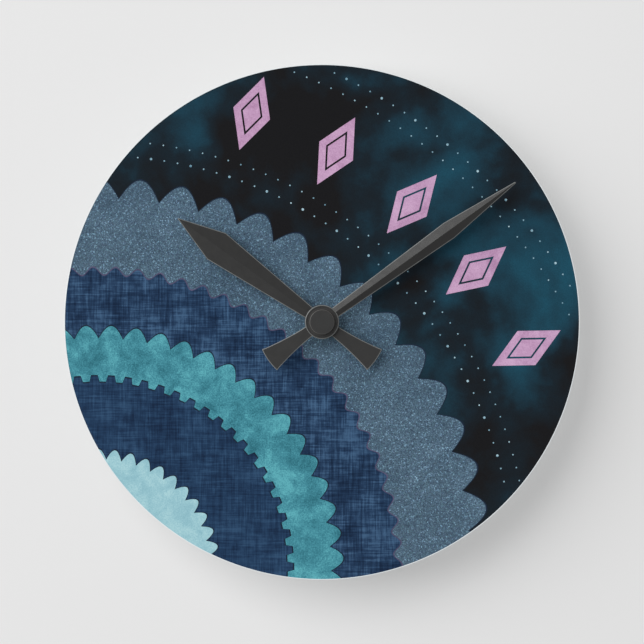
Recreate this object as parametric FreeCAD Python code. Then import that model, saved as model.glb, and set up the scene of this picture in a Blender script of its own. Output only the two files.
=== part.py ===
import FreeCAD, Part
import math
import os

V = FreeCAD.Vector

# Round wall clock. Millimetres, X to the right and Z up as seen from the front.
# The origin is where the axis of the hands meets the wall.
# A depth is a distance in front of the wall, so y is minus the depth.

# Every cut runs past the face that it leaves by this much
overrun = 0.7

# Dial
dial_radius = 101.6
dial_thickness = 4.8
stud_clearance = 0.1

# Fastening of the dial on the threaded stud
stud_radius = 4.0
stud_collar_radius = 5.2
stud_collar_depth = 0.7
stud_beyond_nut = 0.7
rubber_washer_radius = 9.0
rubber_washer_thickness = 1.0
brass_washer_radius = 6.0
brass_washer_thickness = 0.5
nut_across_flats = 11.0
nut_thickness = 2.0
hex_sides = 6
spindle_sides = 12

# Hands
hand_sheet = 0.4
hand_boss_radius = 6.7
hand_root_half_width = 1.93
hand_axial_gap = 0.3
tail_radius = 25.9
tail_root_half_width = 2.25
tail_middle_half_width = 3.25
tail_end_half_width = 5.1
minute_length = 93.7
minute_widest_at = 61.5
minute_half_width = 3.6
minute_slope_share = 0.3
minute_degrees = 54.2
minute_collet_radius = 2.2
minute_collet_length = 1.1
hour_length = 69.7
hour_widest_at = 51.1
hour_half_width = 6.3
hour_slope_share = 0.2
hour_degrees = -54.3
hour_collet_radius = 3.6
hour_collet_length = 1.9
cap_nut_radius = 4.9
cap_nut_height = 2.3
cap_nut_chamfer = 0.25
cap_nut_crown = 0.8

# Pipes that carry the hands, one inside the other
running_clearance = 0.08
pivot_clearance = 0.05
seconds_arbor_radius = 0.5
seconds_arbor_reach = 3.5
minute_arbor_radius = 1.5
hour_pipe_radius = 2.5

# Battery, size AA
battery_radius = 7.1
battery_length = 50.5
battery_cap_radius = 2.75
battery_cap_length = 1.3
battery_sink = 0.5
bay_gap = 0.4
bay_wall = 1.0
contact_room = 1.55
contact_sheet = 0.3
contact_gap = 0.15
contact_half_height = 4.5
contact_bump_half_height = 2.6
contact_strip_width = 3.0
contact_tab_length = 3.2
scoop_half_width = 6.0
scoop_rise = 4.5
scoop_depth = 0.6

# Case
case_wall = 1.2
case_corner = 4.0
case_inner_corner = 1.6
case_lip = 0.8
case_lip_height = 1.0
fit_clearance = 0.05
parting_share = 0.52
clip_width = 7.0
clip_thickness = 1.0
clip_reach = 4.0
clip_window_width = 4.0
clip_window_height = 1.6
clip_tooth = 0.8
clip_share = 0.55

# Hanger at the top of the case
hanger_thickness = 2.0
hanger_half_width = 9.0
hanger_crown_radius = 7.0
hanger_rise = 5.5
hanger_hole_radius = 3.2
hanger_slot_width = 3.4
hanger_slot_rise = 4.2
hanger_tongue_half_width = 5.0

# Teeth
pressure_degrees = 20.0
backlash_share = 0.06
addendum_share = 1.0
tip_gap_share = 0.2
wheel_thickness = 0.7
pinion_overlap = 0.2
pivot_radius = 0.5
axial_gap = 0.3

# Going train, from the rotor to the centre wheel
rotor_pinion_teeth = 6
intermediate_wheel_teeth = 36
intermediate_pinion_teeth = 6
seconds_wheel_teeth = 30
seconds_pinion_teeth = 6
third_wheel_teeth = 48
third_pinion_teeth = 6
centre_wheel_teeth = 45
intermediate_distance = 10.8
intermediate_degrees = 150.0
rotor_distance = 8.4
rotor_degrees = 100.0
third_distance = 11.22
third_degrees = 35.0

# Motion work, from the centre pinion to the hour wheel and the setting pinion
cannon_pinion_teeth = 8
motion_wheel_teeth = 24
motion_pinion_teeth = 6
hour_wheel_teeth = 24
setting_pinion_teeth = 8
motion_distance = 9.6
motion_degrees = 100.0
setting_distance = 9.6
setting_degrees = 60.0
motion_stud_radius = 0.8
hour_wheel_thickness = 1.0
clutch_spring_sheet = 0.3
clutch_spring_radius = 4.2
clutch_spring_hub = 2.3
clutch_spring_arms = 3
clutch_arm_share = 0.35
clutch_spring_height = 0.7

# Plates, bosses and posts
pivot_boss_radius = 1.4
pivot_boss_height = 1.9
pivot_hole_depth = 1.5
bridge_thickness = 1.0
bridge_margin = 2.4
bridge_bottom = 9.2
bridge_top = 16.0
bridge_corner = 2.0
post_radius = 1.3
post_foot_radius = 2.0
post_pin_radius = 0.7
post_inset = 4.6
post_up = 13.6

# Circuit board
board_side_gap = 2.2
board_half_width = 3.5
board_thickness = 0.8
board_rise = 1.4
board_gap = 0.4
chip_radius = 2.6
chip_sides = 8
chip_height = 1.0
chip_out = 7.0
crystal_radius = 1.0
crystal_length = 6.0
crystal_out = 8.0

# Motor
magnet_radius = 3.0
magnet_length = 2.8
stator_air_gap = 0.6
stator_ring = 0.9
stator_notch_depth = 0.45
stator_thickness = 0.8
stator_half_width = 2.6
stator_side_gap = 2.6
stator_right = 3.9
stator_leg_width = 3.2
coil_flange_half = 3.3
coil_winding_radius = 2.9
coil_tube_half = 1.7
coil_flange_thickness = 0.8
coil_end_gap = 0.3
core_half_width = 1.2
core_thickness = 0.8
coil_top_gap = 1.5
coil_rise = 22.0

# Setting knob at the back
knob_radius = 6.0
knob_thickness = 2.2
knob_gap = 0.4
knob_flutes = 20
knob_flute_depth = 0.4
knob_cup_clearance = 0.4
knob_cup_wall = 0.8
knob_cup_floor = 0.8
setting_shaft_radius = 1.5
setting_pivot_radius = 0.8
setting_pivot_length = 1.2
setting_post_radius = 1.8

# Cavity for the train, below the axis of the hands and to its sides
train_drop = 10.8
train_half_width = 26.5


def polar(start, distance, degrees):
    """The point at a distance and an angle from another axis, as (x, z)."""
    turn = math.radians(degrees)
    return start[0] + distance * math.cos(turn), start[1] + distance * math.sin(turn)


centre = (0.0, 0.0)
intermediate = polar(centre, intermediate_distance, intermediate_degrees)
rotor = polar(intermediate, rotor_distance, rotor_degrees)
third = polar(centre, third_distance, third_degrees)
motion = polar(centre, motion_distance, motion_degrees)
setting = polar(motion, setting_distance, setting_degrees)

# Depths of the train, counted forward from the rear wall of the case
board_back = case_wall + board_rise
board_front = board_back + board_thickness
pivot_back = case_wall + pivot_boss_height - pivot_hole_depth
boss_front = case_wall + pivot_boss_height
intermediate_wheel_back = max(board_front + board_gap, boss_front + axial_gap)
intermediate_wheel_front = intermediate_wheel_back + wheel_thickness
magnet_back = intermediate_wheel_front + pinion_overlap + pinion_overlap + axial_gap + pinion_overlap
magnet_front = magnet_back + magnet_length
seconds_wheel_back = magnet_back + pinion_overlap
seconds_wheel_front = seconds_wheel_back + wheel_thickness
stator_back = seconds_wheel_front + axial_gap
stator_front = stator_back + stator_thickness
core_front = stator_front + core_thickness
third_wheel_back = seconds_wheel_front + pinion_overlap + pinion_overlap + axial_gap + axial_gap + axial_gap
third_wheel_front = third_wheel_back + wheel_thickness
bridge_back = max(third_wheel_front + pinion_overlap, magnet_front + pinion_overlap,
                  core_front + axial_gap) + axial_gap + pinion_overlap
bridge_front = bridge_back + bridge_thickness
centre_wheel_back = bridge_front + axial_gap
centre_wheel_front = centre_wheel_back + wheel_thickness

# Depths of the motion work, and of the front wall that they end at
motion_wheel_back = centre_wheel_front + clutch_spring_height + axial_gap
motion_wheel_front = motion_wheel_back + wheel_thickness
hour_wheel_back = motion_wheel_front + pinion_overlap + axial_gap + axial_gap
hour_wheel_front = hour_wheel_back + hour_wheel_thickness
battery_depth = battery_sink + battery_radius
wall_inside = max(hour_wheel_front + axial_gap, battery_depth + battery_radius + bay_gap)
case_depth = wall_inside + case_wall
parting = case_depth * parting_share

# Depths of the dial and the hands
dial_back = case_depth + rubber_washer_thickness
dial_front = dial_back + dial_thickness
nut_back = dial_front + brass_washer_thickness
nut_front = nut_back + nut_thickness
stud_front = nut_front + stud_beyond_nut
hour_collet_back = stud_front + hand_axial_gap
hour_collet_front = hour_collet_back + hour_collet_length
hour_hand_front = hour_collet_front - hand_sheet
minute_collet_back = hour_collet_front + hand_axial_gap
minute_collet_front = minute_collet_back + minute_collet_length
minute_hand_front = minute_collet_front + hand_sheet
cap_nut_front = minute_hand_front + cap_nut_height
minute_arbor_front = cap_nut_front - cap_nut_crown
seconds_arbor_front = dial_back + seconds_arbor_reach

# Outline of the case
inside_half_width = max(battery_length / 2 + contact_room, train_half_width)
case_half_width = inside_half_width + case_wall
battery_z = -(train_drop + bay_wall + bay_gap + battery_radius)
case_bottom = battery_z - battery_radius - bay_gap - case_wall
case_top = coil_rise + coil_flange_half + coil_top_gap + case_wall
board_z = -(train_drop - bay_gap - board_half_width)
board_half_length = inside_half_width - board_side_gap
post_out = board_half_length - post_inset
stator_left = inside_half_width - stator_side_gap
coil_depth = stator_front + core_thickness / 2


def rod(place, radius, back, front):
    """A round bar along the axis at (x, z), from one depth to another."""
    return Part.makeCylinder(radius, front - back, V(place[0], -back, place[1]), V(0, -1, 0))


def pipe(place, radius, bore, back, front):
    """A round bar with a through bore."""
    hole = rod(place, bore, back - overrun, front + overrun)
    return rod(place, radius, back, front).cut(hole)


def slab(left, right, bottom, top, back, front):
    """A block with its faces square to the axes."""
    return Part.makeBox(right - left, front - back, top - bottom, V(left, -front, bottom))


def rounded_slab(left, right, bottom, top, back, front, corner):
    """A block with its four corners rounded as seen from the front."""
    block = slab(left, right, bottom, top, back, front)
    uprights = []
    for edge in block.Edges:
        ends = [vertex.Point for vertex in edge.Vertexes]
        along = (ends[1] - ends[0]).normalize()
        if abs(along.y) > abs(along.x) + abs(along.z):
            uprights.append(edge)
    return block.makeFillet(corner, uprights)


def plate(points, back, front):
    """A flat piece with a straight-sided outline of (x, z) points."""
    corners = [V(x, -back, z) for x, z in points]
    outline = Part.makePolygon(corners + corners[:1])
    return Part.Face(outline).extrude(V(0, back - front, 0))


def many_sided(place, radius, sides, back, front):
    """A straight-sided bar, with its radius taken to the corners."""
    corners = []
    for side in range(sides):
        corners.append(polar(place, radius, side * 360 / sides))
    return plate(corners, back, front)


def prism(place, radius, back, front):
    """A hexagonal bar."""
    return many_sided(place, radius, hex_sides, back, front)


def spindle(place, radius, back, front):
    """A thin bar or bore inside the movement, round but for its few facets."""
    return many_sided(place, radius, spindle_sides, back, front)


def bevelled_slab(left, right, bottom, top, back, front, corner):
    """A block with its four corners cut off as seen from the front."""
    return plate([
        (left + corner, bottom),
        (right - corner, bottom),
        (right, bottom + corner),
        (right, top - corner),
        (right - corner, top),
        (left + corner, top),
        (left, top - corner),
        (left, bottom + corner),
    ], back, front)


def circular_edges(shape, radius, depth):
    """The circular edges of one radius about the axis of the hands at one depth."""
    found = []
    for edge in shape.Edges:
        if not hasattr(edge.Curve, "Radius"):
            continue
        same_radius = abs(edge.Curve.Radius - radius) < radius / 1000
        if same_radius and abs(edge.CenterOfMass.y + depth) < radius / 1000:
            found.append(edge)
    return found


def involute(angle):
    return math.tan(angle) - angle


def mesh(distance, pinion_teeth, wheel_teeth):
    """Module, then tip and root radii of pinion and wheel, for a distance between axes."""
    module = 2 * distance / (pinion_teeth + wheel_teeth)
    pressure = math.radians(pressure_degrees)
    pinion_pitch = module * pinion_teeth / 2
    wheel_pitch = module * wheel_teeth / 2
    reach = math.hypot(wheel_pitch * math.cos(pressure), distance * math.sin(pressure))
    wheel_tip = min(wheel_pitch + module * addendum_share, reach)
    pinion_tip = pinion_pitch + module * addendum_share
    tip_gap = module * tip_gap_share
    return {
        "pinion": (pinion_teeth, pinion_pitch, pinion_tip, distance - wheel_tip - tip_gap),
        "wheel": (wheel_teeth, wheel_pitch, wheel_tip, distance - pinion_tip - tip_gap),
    }


def mate_phase(place, phase, teeth, mate_place, mate_teeth):
    """The phase that puts a gap of the mate where the first gear has a tooth."""
    toward = math.atan2(mate_place[1] - place[1], mate_place[0] - place[0])
    step = 2 * math.pi / teeth
    mate_step = 2 * math.pi / mate_teeth
    share = 0.5 - (toward - phase) / step
    return toward + math.pi - share * mate_step


def toothed(place, gear, phase, back, front):
    """A solid toothed disc. A straight flank joins the involute's points at root and tip."""
    teeth, pitch, tip, root = gear
    pressure = math.radians(pressure_degrees)
    base = pitch * math.cos(pressure)
    half_tooth = math.pi / (2 * teeth) * (1 - backlash_share) + involute(pressure)
    flank = []
    for radius in (root, tip):
        half = half_tooth - involute(math.acos(min(1, base / radius)))
        flank.append((radius, half))
    points = []
    for tooth in range(teeth):
        middle = phase + 2 * math.pi * tooth / teeth
        for radius, half in flank:
            points.append(polar(place, radius, math.degrees(middle - half)))
        for radius, half in reversed(flank):
            points.append(polar(place, radius, math.degrees(middle + half)))
    return plate(points, back, front)


# Meshes of the train, and the phase of each gear at rest
rotor_mesh = mesh(rotor_distance, rotor_pinion_teeth, intermediate_wheel_teeth)
seconds_mesh = mesh(intermediate_distance, intermediate_pinion_teeth, seconds_wheel_teeth)
third_mesh = mesh(third_distance, seconds_pinion_teeth, third_wheel_teeth)
centre_mesh = mesh(third_distance, third_pinion_teeth, centre_wheel_teeth)
motion_mesh = mesh(motion_distance, cannon_pinion_teeth, motion_wheel_teeth)
hour_mesh = mesh(motion_distance, motion_pinion_teeth, hour_wheel_teeth)
setting_mesh = mesh(setting_distance, setting_pinion_teeth, motion_wheel_teeth)

intermediate_pinion_phase = mate_phase(
    centre, 0.0, seconds_wheel_teeth, intermediate, intermediate_pinion_teeth)
rotor_pinion_phase = mate_phase(
    intermediate, 0.0, intermediate_wheel_teeth, rotor, rotor_pinion_teeth)
third_wheel_phase = mate_phase(centre, 0.0, seconds_pinion_teeth, third, third_wheel_teeth)
centre_wheel_phase = mate_phase(third, 0.0, third_pinion_teeth, centre, centre_wheel_teeth)
motion_wheel_phase = mate_phase(centre, 0.0, cannon_pinion_teeth, motion, motion_wheel_teeth)
hour_wheel_phase = mate_phase(motion, 0.0, motion_pinion_teeth, centre, hour_wheel_teeth)
setting_pinion_phase = mate_phase(
    motion, motion_wheel_phase, motion_wheel_teeth, setting, setting_pinion_teeth)


# Dial and its fastening

def face_disc():
    disc = rod(centre, dial_radius, dial_back, dial_front)
    hole = rod(centre, stud_radius + stud_clearance, dial_back - overrun, dial_front + overrun)
    return disc.cut(hole)


def rubber_washer():
    return pipe(centre, rubber_washer_radius, stud_radius + stud_clearance, case_depth, dial_back)


def brass_washer():
    return pipe(centre, brass_washer_radius, stud_radius + stud_clearance, dial_front, nut_back)


def hex_nut():
    across_corners = nut_across_flats / math.cos(math.pi / hex_sides)
    nut = prism(centre, across_corners / 2, nut_back, nut_front)
    return nut.cut(rod(centre, stud_radius, nut_back - overrun, nut_front + overrun))


def threaded_bush():
    stud = rod(centre, stud_radius, wall_inside, stud_front)
    stud = stud.fuse(prism(centre, stud_collar_radius, wall_inside, wall_inside + stud_collar_depth))
    bore = rod(centre, hour_pipe_radius + running_clearance, wall_inside - overrun, stud_front + overrun)
    return stud.cut(bore).removeSplitter()


# Hands

def hand(length, widest_at, half_width, slope_share, front, bore, degrees):
    """A pressed hand with a ridge along its blade, a round boss and a flat tail."""
    boss = rod(centre, hand_boss_radius, front - hand_sheet, front)
    back = front - half_width * slope_share - hand_sheet
    outline = [
        (-hand_root_half_width, 0),
        (-half_width, widest_at),
        (0, length),
        (half_width, widest_at),
        (hand_root_half_width, 0),
    ]
    blade = plate(outline, back - overrun, front + overrun)
    drop = half_width * slope_share
    roof = [
        V(-half_width, drop - front, 0),
        V(0, -front, 0),
        V(half_width, drop - front, 0),
        V(half_width, drop - front + hand_sheet, 0),
        V(0, hand_sheet - front, 0),
        V(-half_width, drop - front + hand_sheet, 0),
    ]
    ridge = Part.Face(Part.makePolygon(roof + roof[:1])).extrude(V(0, 0, length))
    blade = blade.common(ridge)
    whole = boss.fuse([blade, hand_tail(front)]).removeSplitter()
    whole = whole.cut(rod(centre, bore, back - overrun, front + overrun))
    whole.rotate(V(0, 0, 0), V(0, 1, 0), degrees)
    return whole


def hand_tail(front):
    """The flat tail. Its sides flare as arcs, and its end is an arc about the axis."""
    start = -hand_boss_radius
    middle = -(hand_boss_radius + tail_radius) / 2
    y = -front
    left = Part.Arc(V(-tail_root_half_width, y, start), V(-tail_middle_half_width, y, middle),
                    V(-tail_end_half_width, y, -tail_radius))
    right = Part.Arc(V(tail_end_half_width, y, -tail_radius), V(tail_middle_half_width, y, middle),
                     V(tail_root_half_width, y, start))
    corners = [
        V(-tail_root_half_width, y, 0),
        V(-tail_root_half_width, y, start),
        V(-tail_end_half_width, y, -tail_radius),
        V(tail_end_half_width, y, -tail_radius),
        V(tail_root_half_width, y, start),
        V(tail_root_half_width, y, 0),
    ]
    outline = Part.Wire([
        Part.makeLine(corners[0], corners[1]),
        left.toShape(),
        Part.makeLine(corners[2], corners[3]),
        right.toShape(),
        Part.makeLine(corners[4], corners[5]),
        Part.makeLine(corners[5], corners[0]),
    ])
    tail = Part.Face(outline).extrude(V(0, hand_sheet, 0))
    return tail.common(rod(centre, tail_radius, front - hand_sheet, front))


def hour_hand():
    return hand(hour_length, hour_widest_at, hour_half_width, hour_slope_share,
                hour_hand_front, hour_collet_radius, hour_degrees)


def hour_hand_collet():
    return pipe(centre, hour_collet_radius, hour_pipe_radius, hour_collet_back, hour_collet_front)


def minute_hand():
    whole = hand(minute_length, minute_widest_at, minute_half_width, minute_slope_share,
                 minute_hand_front, minute_arbor_radius, minute_degrees)
    return whole.cut(rod(centre, minute_collet_radius, minute_collet_back, minute_collet_front))


def minute_hand_collet():
    return pipe(centre, minute_collet_radius, minute_arbor_radius, minute_collet_back,
                minute_collet_front)


def cap_nut():
    cap = rod(centre, cap_nut_radius, minute_hand_front, cap_nut_front)
    cap = cap.makeChamfer(cap_nut_chamfer, circular_edges(cap, cap_nut_radius, cap_nut_front))
    return cap.cut(rod(centre, minute_arbor_radius, minute_hand_front - overrun, minute_arbor_front))


# Hands' arbors and the motion work

def minute_arbor():
    back = bridge_front + pinion_overlap
    arbor = rod(centre, minute_arbor_radius, back, minute_arbor_front)
    pinion = toothed(centre, motion_mesh["pinion"], 0.0, motion_wheel_back - pinion_overlap,
                     motion_wheel_front + pinion_overlap)
    bore = spindle(centre, seconds_arbor_radius + running_clearance, back - overrun,
                   seconds_arbor_front + axial_gap)
    return arbor.fuse(pinion).cut(bore)


def hour_wheel():
    teeth = toothed(centre, hour_mesh["wheel"], hour_wheel_phase, hour_wheel_back, hour_wheel_front)
    stem = rod(centre, hour_pipe_radius, hour_wheel_back, hour_collet_front)
    bore = rod(centre, minute_arbor_radius + running_clearance, hour_wheel_back - overrun,
               hour_collet_front + overrun)
    return teeth.fuse(stem).cut(bore)


def motion_wheel():
    wheel = toothed(motion, motion_mesh["wheel"], motion_wheel_phase, motion_wheel_back,
                    motion_wheel_front)
    pinion = toothed(motion, hour_mesh["pinion"], 0.0, motion_wheel_front,
                     hour_wheel_front)
    bore = rod(motion, motion_stud_radius + pivot_clearance, motion_wheel_back - overrun,
               hour_wheel_front + overrun)
    return wheel.fuse(pinion).cut(bore)


def clutch_spring():
    """A leaf spring with arms that press on the centre wheel, under a plain hub."""
    back = centre_wheel_front + pivot_clearance
    front = motion_wheel_back - pinion_overlap
    points = []
    for arm in range(clutch_spring_arms):
        turn = arm * 360 / clutch_spring_arms
        spread = 360 / clutch_spring_arms * clutch_arm_share
        points.append(polar(centre, clutch_spring_radius, turn - spread / 2))
        points.append(polar(centre, clutch_spring_radius, turn + spread / 2))
        points.append(polar(centre, clutch_spring_hub, turn + spread))
        points.append(polar(centre, clutch_spring_hub, turn - spread + 360 / clutch_spring_arms))
    leaf = plate(points, back, back + clutch_spring_sheet)
    hub = prism(centre, clutch_spring_hub, back, front)
    bore = rod(centre, minute_arbor_radius, back - overrun, front + overrun)
    return leaf.fuse(hub).cut(bore).removeSplitter()


# Going train

def rotor_pinion():
    pinion = toothed(rotor, rotor_mesh["pinion"], rotor_pinion_phase,
                     intermediate_wheel_back - pinion_overlap, magnet_back)
    back = spindle(rotor, pivot_radius, pivot_back, intermediate_wheel_back)
    front = spindle(rotor, pivot_radius, magnet_back, bridge_front - pinion_overlap)
    return pinion.fuse([back, front])


def rotor_magnet():
    magnet = rod(rotor, magnet_radius, magnet_back, magnet_front)
    return magnet.cut(spindle(rotor, pivot_radius, magnet_back - overrun, magnet_front + overrun))


def intermediate_wheel():
    wheel = toothed(intermediate, rotor_mesh["wheel"], 0.0, intermediate_wheel_back,
                    intermediate_wheel_front)
    pinion = toothed(intermediate, seconds_mesh["pinion"], intermediate_pinion_phase,
                     intermediate_wheel_front, seconds_wheel_front + pinion_overlap)
    pivot = rod(intermediate, pivot_radius, pivot_back, intermediate_wheel_back)
    arbor = spindle(intermediate, pivot_radius, intermediate_wheel_back, bridge_front - pinion_overlap)
    return wheel.fuse([pinion, pivot, arbor])


def third_wheel():
    wheel = toothed(third, third_mesh["wheel"], third_wheel_phase, third_wheel_back,
                    third_wheel_front)
    pinion = toothed(third, centre_mesh["pinion"], 0.0, third_wheel_front,
                     centre_wheel_front + pinion_overlap)
    end = centre_wheel_front + pinion_overlap
    pivot = rod(third, pivot_radius, pivot_back, third_wheel_back)
    arbor = spindle(third, pivot_radius, third_wheel_back, end + pivot_hole_depth)
    return wheel.fuse([pinion, pivot, arbor])


def seconds_wheel():
    wheel = toothed(centre, seconds_mesh["wheel"], 0.0, seconds_wheel_back, seconds_wheel_front)
    pinion = toothed(centre, third_mesh["pinion"], 0.0, seconds_wheel_front,
                     third_wheel_front + pinion_overlap)
    bore = spindle(centre, seconds_arbor_radius, seconds_wheel_back - overrun,
                   third_wheel_front + pinion_overlap + overrun)
    return wheel.fuse(pinion).cut(bore)


def seconds_arbor():
    return spindle(centre, seconds_arbor_radius, pivot_back, seconds_arbor_front)


def centre_wheel():
    wheel = toothed(centre, centre_mesh["wheel"], centre_wheel_phase, centre_wheel_back,
                    centre_wheel_front)
    bore = rod(centre, minute_arbor_radius + pivot_clearance, centre_wheel_back - overrun,
               centre_wheel_front + overrun)
    return wheel.cut(bore)


def gear_bridge():
    half = post_out + bridge_margin
    bridge = bevelled_slab(-half, half, -bridge_bottom, bridge_top, bridge_back, bridge_front,
                           bridge_corner)
    back = bridge_back - overrun
    front = bridge_front + overrun
    opening = (centre_mesh["pinion"][2] + axial_gap) / math.cos(math.pi / hex_sides)
    holes = [
        spindle(centre, seconds_arbor_radius + running_clearance, back, front),
        spindle(intermediate, pivot_radius + pivot_clearance, back, front),
        spindle(rotor, pivot_radius + pivot_clearance, back, front),
        prism(third, opening, back, front),
    ]
    for place in bridge_posts():
        holes.append(prism(place, post_pin_radius + fit_clearance, back, front))
    return bridge.cut(holes)


def board_posts():
    """Places of the two lower posts, which carry the board as well as the bridge."""
    return [(-post_out, board_z), (post_out, board_z)]


def bridge_posts():
    return board_posts() + [(post_out, post_up)]


# Motor

def motor_posts():
    """Places of the two posts that carry the stator and the core of the coil."""
    return [
        (-stator_left + stator_leg_width / 2, coil_rise),
        (-stator_right - stator_leg_width / 2, coil_rise),
    ]


def stator_plate():
    bar = slab(-stator_left, -stator_right, rotor[1] - stator_half_width, rotor[1] + stator_half_width,
               stator_back, stator_front)
    pieces = []
    for place in motor_posts():
        pieces.append(slab(place[0] - stator_leg_width / 2, place[0] + stator_leg_width / 2,
                           rotor[1], coil_rise + core_half_width, stator_back, stator_front))
    hole = magnet_radius + stator_air_gap
    rim = (hole + stator_ring) / math.cos(math.pi / hex_sides)
    pieces.append(prism(rotor, rim, stator_back, stator_front))
    stator = bar.fuse(pieces).removeSplitter()
    back = stator_back - overrun
    front = stator_front + overrun
    cuts = [rod(rotor, hole, back, front)]
    for side in (1, -1):
        cuts.append(plate([
            (rotor[0] - stator_notch_depth, rotor[1] + side * (hole + stator_ring + stator_notch_depth)),
            (rotor[0], rotor[1] + side * (hole + stator_ring - stator_notch_depth)),
            (rotor[0] + stator_notch_depth, rotor[1] + side * (hole + stator_ring + stator_notch_depth)),
        ], back, front))
    for place in motor_posts():
        cuts.append(prism(place, post_pin_radius + fit_clearance, back, front))
    return stator.cut(cuts)


def coil_core():
    core = slab(-stator_left, -stator_right, coil_rise - core_half_width, coil_rise + core_half_width,
                stator_front, core_front)
    for place in motor_posts():
        core = core.cut(prism(place, post_pin_radius + fit_clearance, stator_front - overrun,
                              core_front + overrun))
    return core


def coil_span():
    """Where the bobbin starts and ends, between the legs of the stator."""
    start = -stator_left + stator_leg_width + coil_end_gap
    end = -stator_right - stator_leg_width - coil_end_gap
    return start, end


def around_coil(half, start, end):
    """A square block along the coil."""
    return slab(start, end, coil_rise - half, coil_rise + half, coil_depth - half, coil_depth + half)


def coil_bobbin():
    start, end = coil_span()
    bobbin = around_coil(coil_tube_half, start, end)
    bobbin = bobbin.fuse([
        around_coil(coil_flange_half, start, start + coil_flange_thickness),
        around_coil(coil_flange_half, end - coil_flange_thickness, end),
    ])
    window = slab(start - overrun, end + overrun, coil_rise - core_half_width - fit_clearance,
                  coil_rise + core_half_width + fit_clearance, stator_front - fit_clearance,
                  core_front + fit_clearance)
    return bobbin.cut(window)


def coil_winding():
    start, end = coil_span()
    start = start + coil_flange_thickness
    end = end - coil_flange_thickness
    winding = Part.makeCylinder(coil_winding_radius, end - start, V(start, -coil_depth, coil_rise),
                                V(1, 0, 0))
    return winding.cut(around_coil(coil_tube_half, start - overrun, end + overrun))


# Circuit board

def circuit_board():
    board = slab(-board_half_length, board_half_length, board_z - board_half_width,
                 board_z + board_half_width, board_back, board_front)
    for place in board_posts():
        board = board.cut(prism(place, post_radius + fit_clearance, board_back - overrun,
                                board_front + overrun))
    return board


def chip():
    corners = []
    for side in range(chip_sides):
        corners.append(polar((chip_out, board_z), chip_radius, (side + 0.5) * 360 / chip_sides))
    return plate(corners, board_front, board_front + chip_height)


def quartz_crystal():
    start = V(-crystal_out - crystal_length, -board_front - crystal_radius, board_z)
    can = Part.makeCylinder(crystal_radius, crystal_length, start, V(1, 0, 0))
    return can


# Battery and its contacts

def along_bay(radius, left, right):
    """A round bar along the battery bay."""
    return Part.makeCylinder(radius, right - left, V(left, -battery_depth, battery_z), V(1, 0, 0))


def battery():
    return along_bay(battery_radius, battery_cap_length - battery_length / 2, battery_length / 2)


def battery_cap():
    """The raised cap at the positive end."""
    left = -battery_length / 2
    return along_bay(battery_cap_radius, left, left + battery_cap_length)


def contact(side, reach):
    """A sheet contact on an end wall of the bay, with a bowed spring and a tab on the board."""
    wall = inside_half_width
    sheet = slab(wall - contact_sheet, wall, battery_z - contact_half_height,
                 battery_z + contact_half_height, battery_depth - contact_half_height,
                 battery_depth + contact_half_height)
    strip_back = board_front
    strip_front = strip_back + contact_strip_width
    strip = slab(wall - contact_sheet, wall, battery_z, board_z + contact_strip_width / 2,
                 strip_back, strip_front)
    tab = slab(wall - contact_tab_length, wall, board_z - contact_strip_width / 2,
               board_z + contact_strip_width / 2, strip_back, strip_back + contact_sheet)
    half = contact_bump_half_height
    foot = wall - contact_sheet
    bow = [
        V(foot, -battery_depth, battery_z - half),
        V(reach, -battery_depth, battery_z - contact_sheet),
        V(reach, -battery_depth, battery_z + contact_sheet),
        V(foot, -battery_depth, battery_z + half),
        V(foot, -battery_depth, battery_z + half - contact_sheet - contact_sheet),
        V(reach + contact_sheet, -battery_depth, battery_z),
        V(foot, -battery_depth, battery_z - half + contact_sheet + contact_sheet),
    ]
    spring = Part.Face(Part.makePolygon(bow + bow[:1])).extrude(V(0, -contact_strip_width, 0))
    spring.translate(V(0, contact_strip_width / 2, 0))
    whole = sheet.fuse([strip, tab, spring]).removeSplitter()
    if side < 0:
        whole = whole.mirror(V(0, 0, 0), V(1, 0, 0))
    return whole


def battery_contact_negative():
    return contact(1, battery_length / 2 + contact_gap)


def battery_contact_positive():
    return contact(-1, battery_length / 2 + contact_gap)


# Case

def clip_places():
    """Places of the four snap clips on the sides of the case, as (side, z)."""
    places = []
    for side in (-1, 1):
        places.append((side, case_top * clip_share))
        places.append((side, case_bottom * clip_share))
    return places


def case_front():
    shell = rounded_slab(-case_half_width, case_half_width, case_bottom, case_top,
                         parting, case_depth, case_corner)
    hollow = bevelled_slab(-inside_half_width, inside_half_width, case_bottom + case_wall,
                           case_top - case_wall, parting - overrun, wall_inside,
                           case_inner_corner)
    shell = shell.cut(hollow)
    inner_half = battery_length / 2 + contact_sheet
    pieces = [
        slab(-inner_half, inner_half, -train_drop - bay_wall, -train_drop, parting, wall_inside),
        prism(third, pivot_boss_radius, centre_wheel_front + pinion_overlap + axial_gap, wall_inside),
        spindle(motion, motion_stud_radius, motion_wheel_back, wall_inside),
        prism(setting, setting_post_radius, motion_wheel_front + pinion_overlap + axial_gap, wall_inside),
    ]
    for side, height in clip_places():
        outer = side * (case_half_width + clip_tooth)
        left = min(outer, side * case_half_width)
        right = max(outer, side * case_half_width)
        half = clip_window_width / 2 - fit_clearance
        pieces.append(slab(left, right, height - half, height + half,
                           parting + clip_reach / 2 - clip_window_height / 2 + fit_clearance,
                           parting + clip_reach / 2 + clip_window_height / 2 - fit_clearance))
    shell = shell.fuse(pieces).removeSplitter()
    third_end = centre_wheel_front + pinion_overlap
    setting_end = motion_wheel_front + pinion_overlap
    holes = [
        rod(centre, stud_radius, wall_inside - overrun, case_depth + overrun),
        prism(centre, stud_collar_radius, wall_inside - overrun, wall_inside + stud_collar_depth),
        spindle(third, pivot_radius + pivot_clearance, third_end,
                third_end + pivot_hole_depth + pivot_clearance),
        spindle(setting, setting_pivot_radius + pivot_clearance, setting_end,
                setting_end + setting_pivot_length + pivot_clearance),
    ]
    return shell.cut(holes)


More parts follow.
